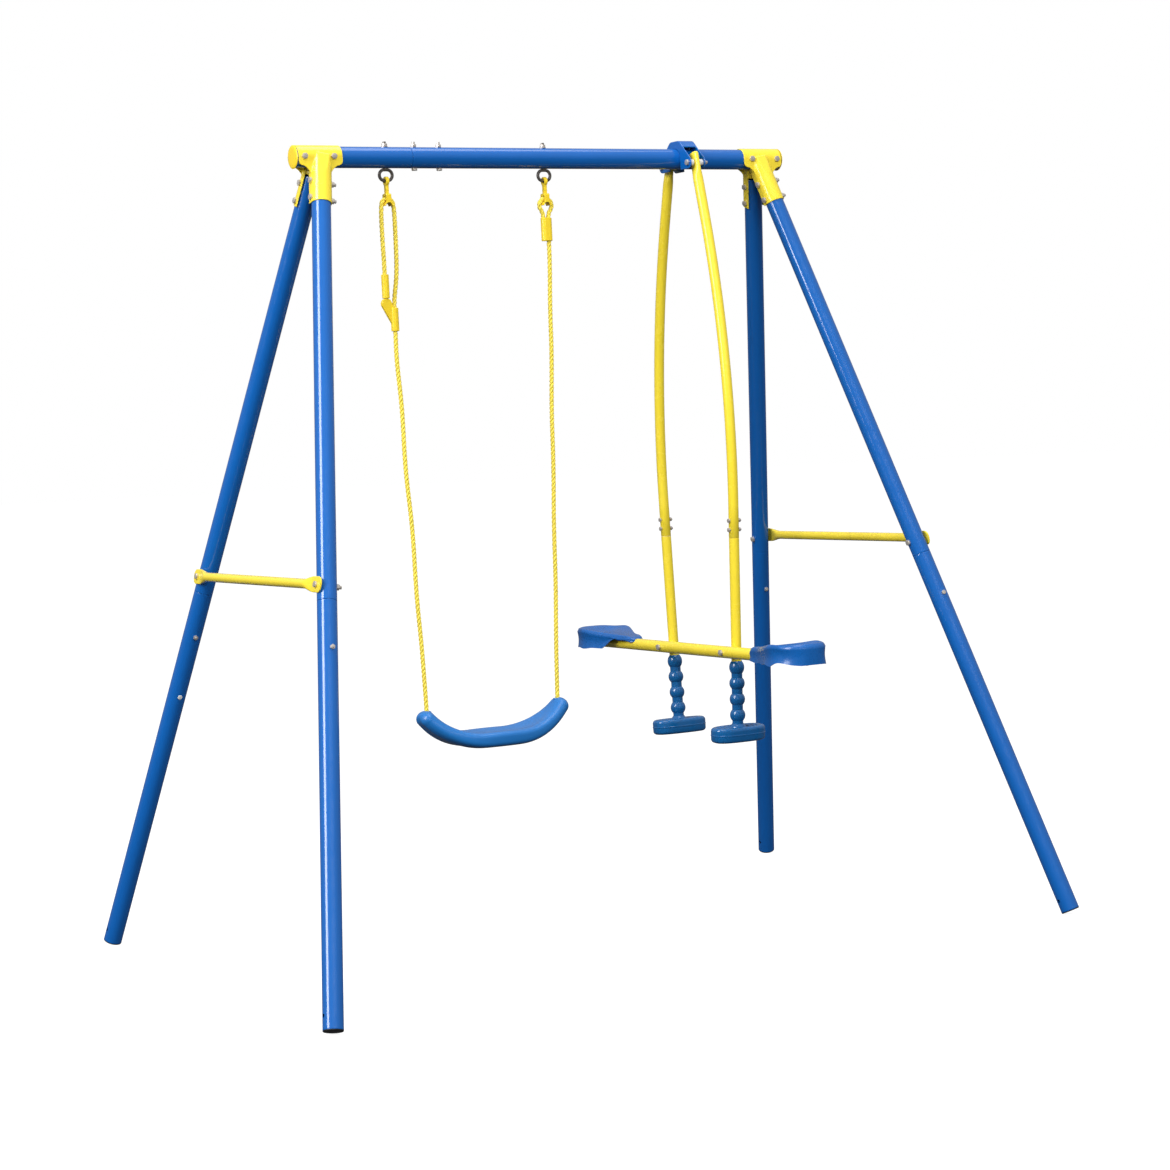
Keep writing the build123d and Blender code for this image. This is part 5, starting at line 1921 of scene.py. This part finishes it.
@dataclass
class Studio:
    """Pale floor, soft light and the camera."""

    eye: tuple[float, float, float] = (-3.257, -5.903, 1.248)
    yaw: float = 29.26
    pitch: float = 3.34
    roll: float = -2.78
    lens: float = 84.41
    sensor: float = 36.0
    floor_radius: float = 60.0
    floor_glow: float = 0.92

    def camera(self) -> None:
        """Place the camera."""
        yaw, pitch, roll = (math.radians(v) for v in (self.yaw, self.pitch, self.roll))
        forward = Vector((
            math.sin(yaw) * math.cos(pitch), math.cos(yaw) * math.cos(pitch), -math.sin(pitch)
        ))
        right = Vector((math.cos(yaw), -math.sin(yaw), 0))
        up = right.cross(forward)
        turned_right = right * math.cos(roll) + up * math.sin(roll)
        turned_up = up * math.cos(roll) - right * math.sin(roll)
        data = bpy.data.cameras.new("camera")
        data.lens = self.lens
        data.sensor_width = self.sensor
        data.clip_end = 200.0
        holder = bpy.data.objects.new("camera", data)
        bpy.context.scene.collection.objects.link(holder)
        basis = Matrix((turned_right, turned_up, -forward)).transposed().to_4x4()
        holder.matrix_world = Matrix.Translation(Vector(self.eye)) @ basis
        bpy.context.scene.camera = holder

    def floor(self) -> None:
        """Lay the floor."""
        bm = bmesh.new()
        bmesh.ops.create_circle(bm, cap_ends=True, segments=LEG_FACES, radius=self.floor_radius)
        mesh = bpy.data.meshes.new("floor")
        bm.to_mesh(mesh)
        bm.free()
        floor = bpy.data.objects.new("floor", mesh)
        bpy.context.scene.collection.objects.link(floor)
        material = bpy.data.materials.new("floor")
        material.use_nodes = True
        shader = material.node_tree.nodes["Principled BSDF"]
        shader.inputs["Base Color"].default_value = (0.25, 0.25, 0.25, 1.0)
        shader.inputs["Roughness"].default_value = 0.95
        shader.inputs["Specular IOR Level"].default_value = 0.0
        shader.inputs["Emission Color"].default_value = (1.0, 1.0, 1.0, 1.0)
        shader.inputs["Emission Strength"].default_value = self.floor_glow
        mesh.materials.append(material)
        floor.visible_glossy = False
        floor.visible_diffuse = False

    def lamp(
        self,
        name: str,
        place: Vector,
        aim: Vector,
        size: tuple[float, float],
        power: float,
        shines: bool = True,
    ) -> None:
        """Hang one soft box.

        Args:
            name: Name of the lamp.
            place: Where it hangs.
            aim: What it points at.
            size: Width and height in metres.
            power: Watts.
            shines: Whether it shows in glossy surfaces.
        """
        data = bpy.data.lights.new(name, "AREA")
        data.shape = "RECTANGLE"
        data.size, data.size_y = size
        data.energy = power
        lamp = bpy.data.objects.new(name, data)
        bpy.context.scene.collection.objects.link(lamp)
        lamp.location = place
        lamp.rotation_euler = (aim - place).to_track_quat("-Z", "Y").to_euler()
        lamp.visible_glossy = shines

    def sky(self) -> None:
        """Light the room: bright above, dim below, white behind."""
        world = bpy.data.worlds.new("room")
        bpy.context.scene.world = world
        world.use_nodes = True
        graph = Graph(world.node_tree)
        world.node_tree.nodes.clear()
        out = graph.add("ShaderNodeOutputWorld")
        coords = graph.add("ShaderNodeTexCoord").outputs["Generated"]
        split = graph.add("ShaderNodeSeparateXYZ")
        graph.link(coords, split.inputs[0])
        ramp = graph.add("ShaderNodeValToRGB")
        lift = graph.add("ShaderNodeMapRange")
        lift.inputs["From Min"].default_value = -1.0
        graph.link(split.outputs["Z"], lift.inputs["Value"])
        graph.link(lift.outputs["Result"], ramp.inputs["Fac"])
        stops = ramp.color_ramp.elements
        stops[0].position, stops[0].color = 0.0, (0.05, 0.05, 0.055, 1)
        stops[1].position, stops[1].color = 1.0, (0.62, 0.62, 0.62, 1)
        for position, level in ((0.42, 0.09), (0.54, 0.24), (0.72, 0.42)):
            stop = stops.new(position)
            stop.color = (level, level, level * 1.02, 1)
        soft = graph.add("ShaderNodeBackground")
        soft.inputs["Strength"].default_value = 1.0
        graph.link(ramp.outputs["Color"], soft.inputs["Color"])
        plain = graph.add("ShaderNodeBackground")
        plain.inputs["Color"].default_value = (1, 1, 1, 1)
        plain.inputs["Strength"].default_value = 1.0
        seen = graph.add("ShaderNodeLightPath").outputs["Is Camera Ray"]
        mix = graph.add("ShaderNodeMixShader")
        graph.link(seen, mix.inputs[0])
        graph.link(soft.outputs[0], mix.inputs[1])
        graph.link(plain.outputs[0], mix.inputs[2])
        graph.link(mix.outputs[0], out.inputs["Surface"])

    def build(self) -> None:
        """Set the whole stage."""
        self.camera()
        self.floor()
        self.sky()
        aim = Vector((-0.3, 0.0, 1.2))
        self.lamp("key", Vector((-5.8, -1.0, 4.3)), aim, (2.4, 5.0), 400.0)
        self.lamp("front", Vector((-0.8, -6.5, 4.0)), aim, (5.0, 3.5), 330.0, False)
        self.lamp("top", Vector((0.4, -0.6, 6.5)), aim, (5.0, 3.0), 110.0)
        bpy.context.scene.view_settings.view_transform = "Standard"
        bpy.context.scene.view_settings.look = "None"


def main() -> None:
    """Build the set, piece by piece."""
    logging.basicConfig(level=logging.INFO, format="%(name)s %(message)s")
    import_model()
    Studio().build()
    palette = Palette.mix()
    SwingRopes(palette).build()
    BeltSeat(palette).build()
    Legs(palette).build()
    TopBeam(palette).build()
    Pressings(palette).build()
    Crossbars(palette).build()
    hangers = Hangers(palette)
    hangers.build()
    Pedals(palette).build(hangers)
    GliderBar(palette).build()
    SaddleSeats(palette).build()
    Hardware(palette).build()


if __name__ == "__main__":
    main()
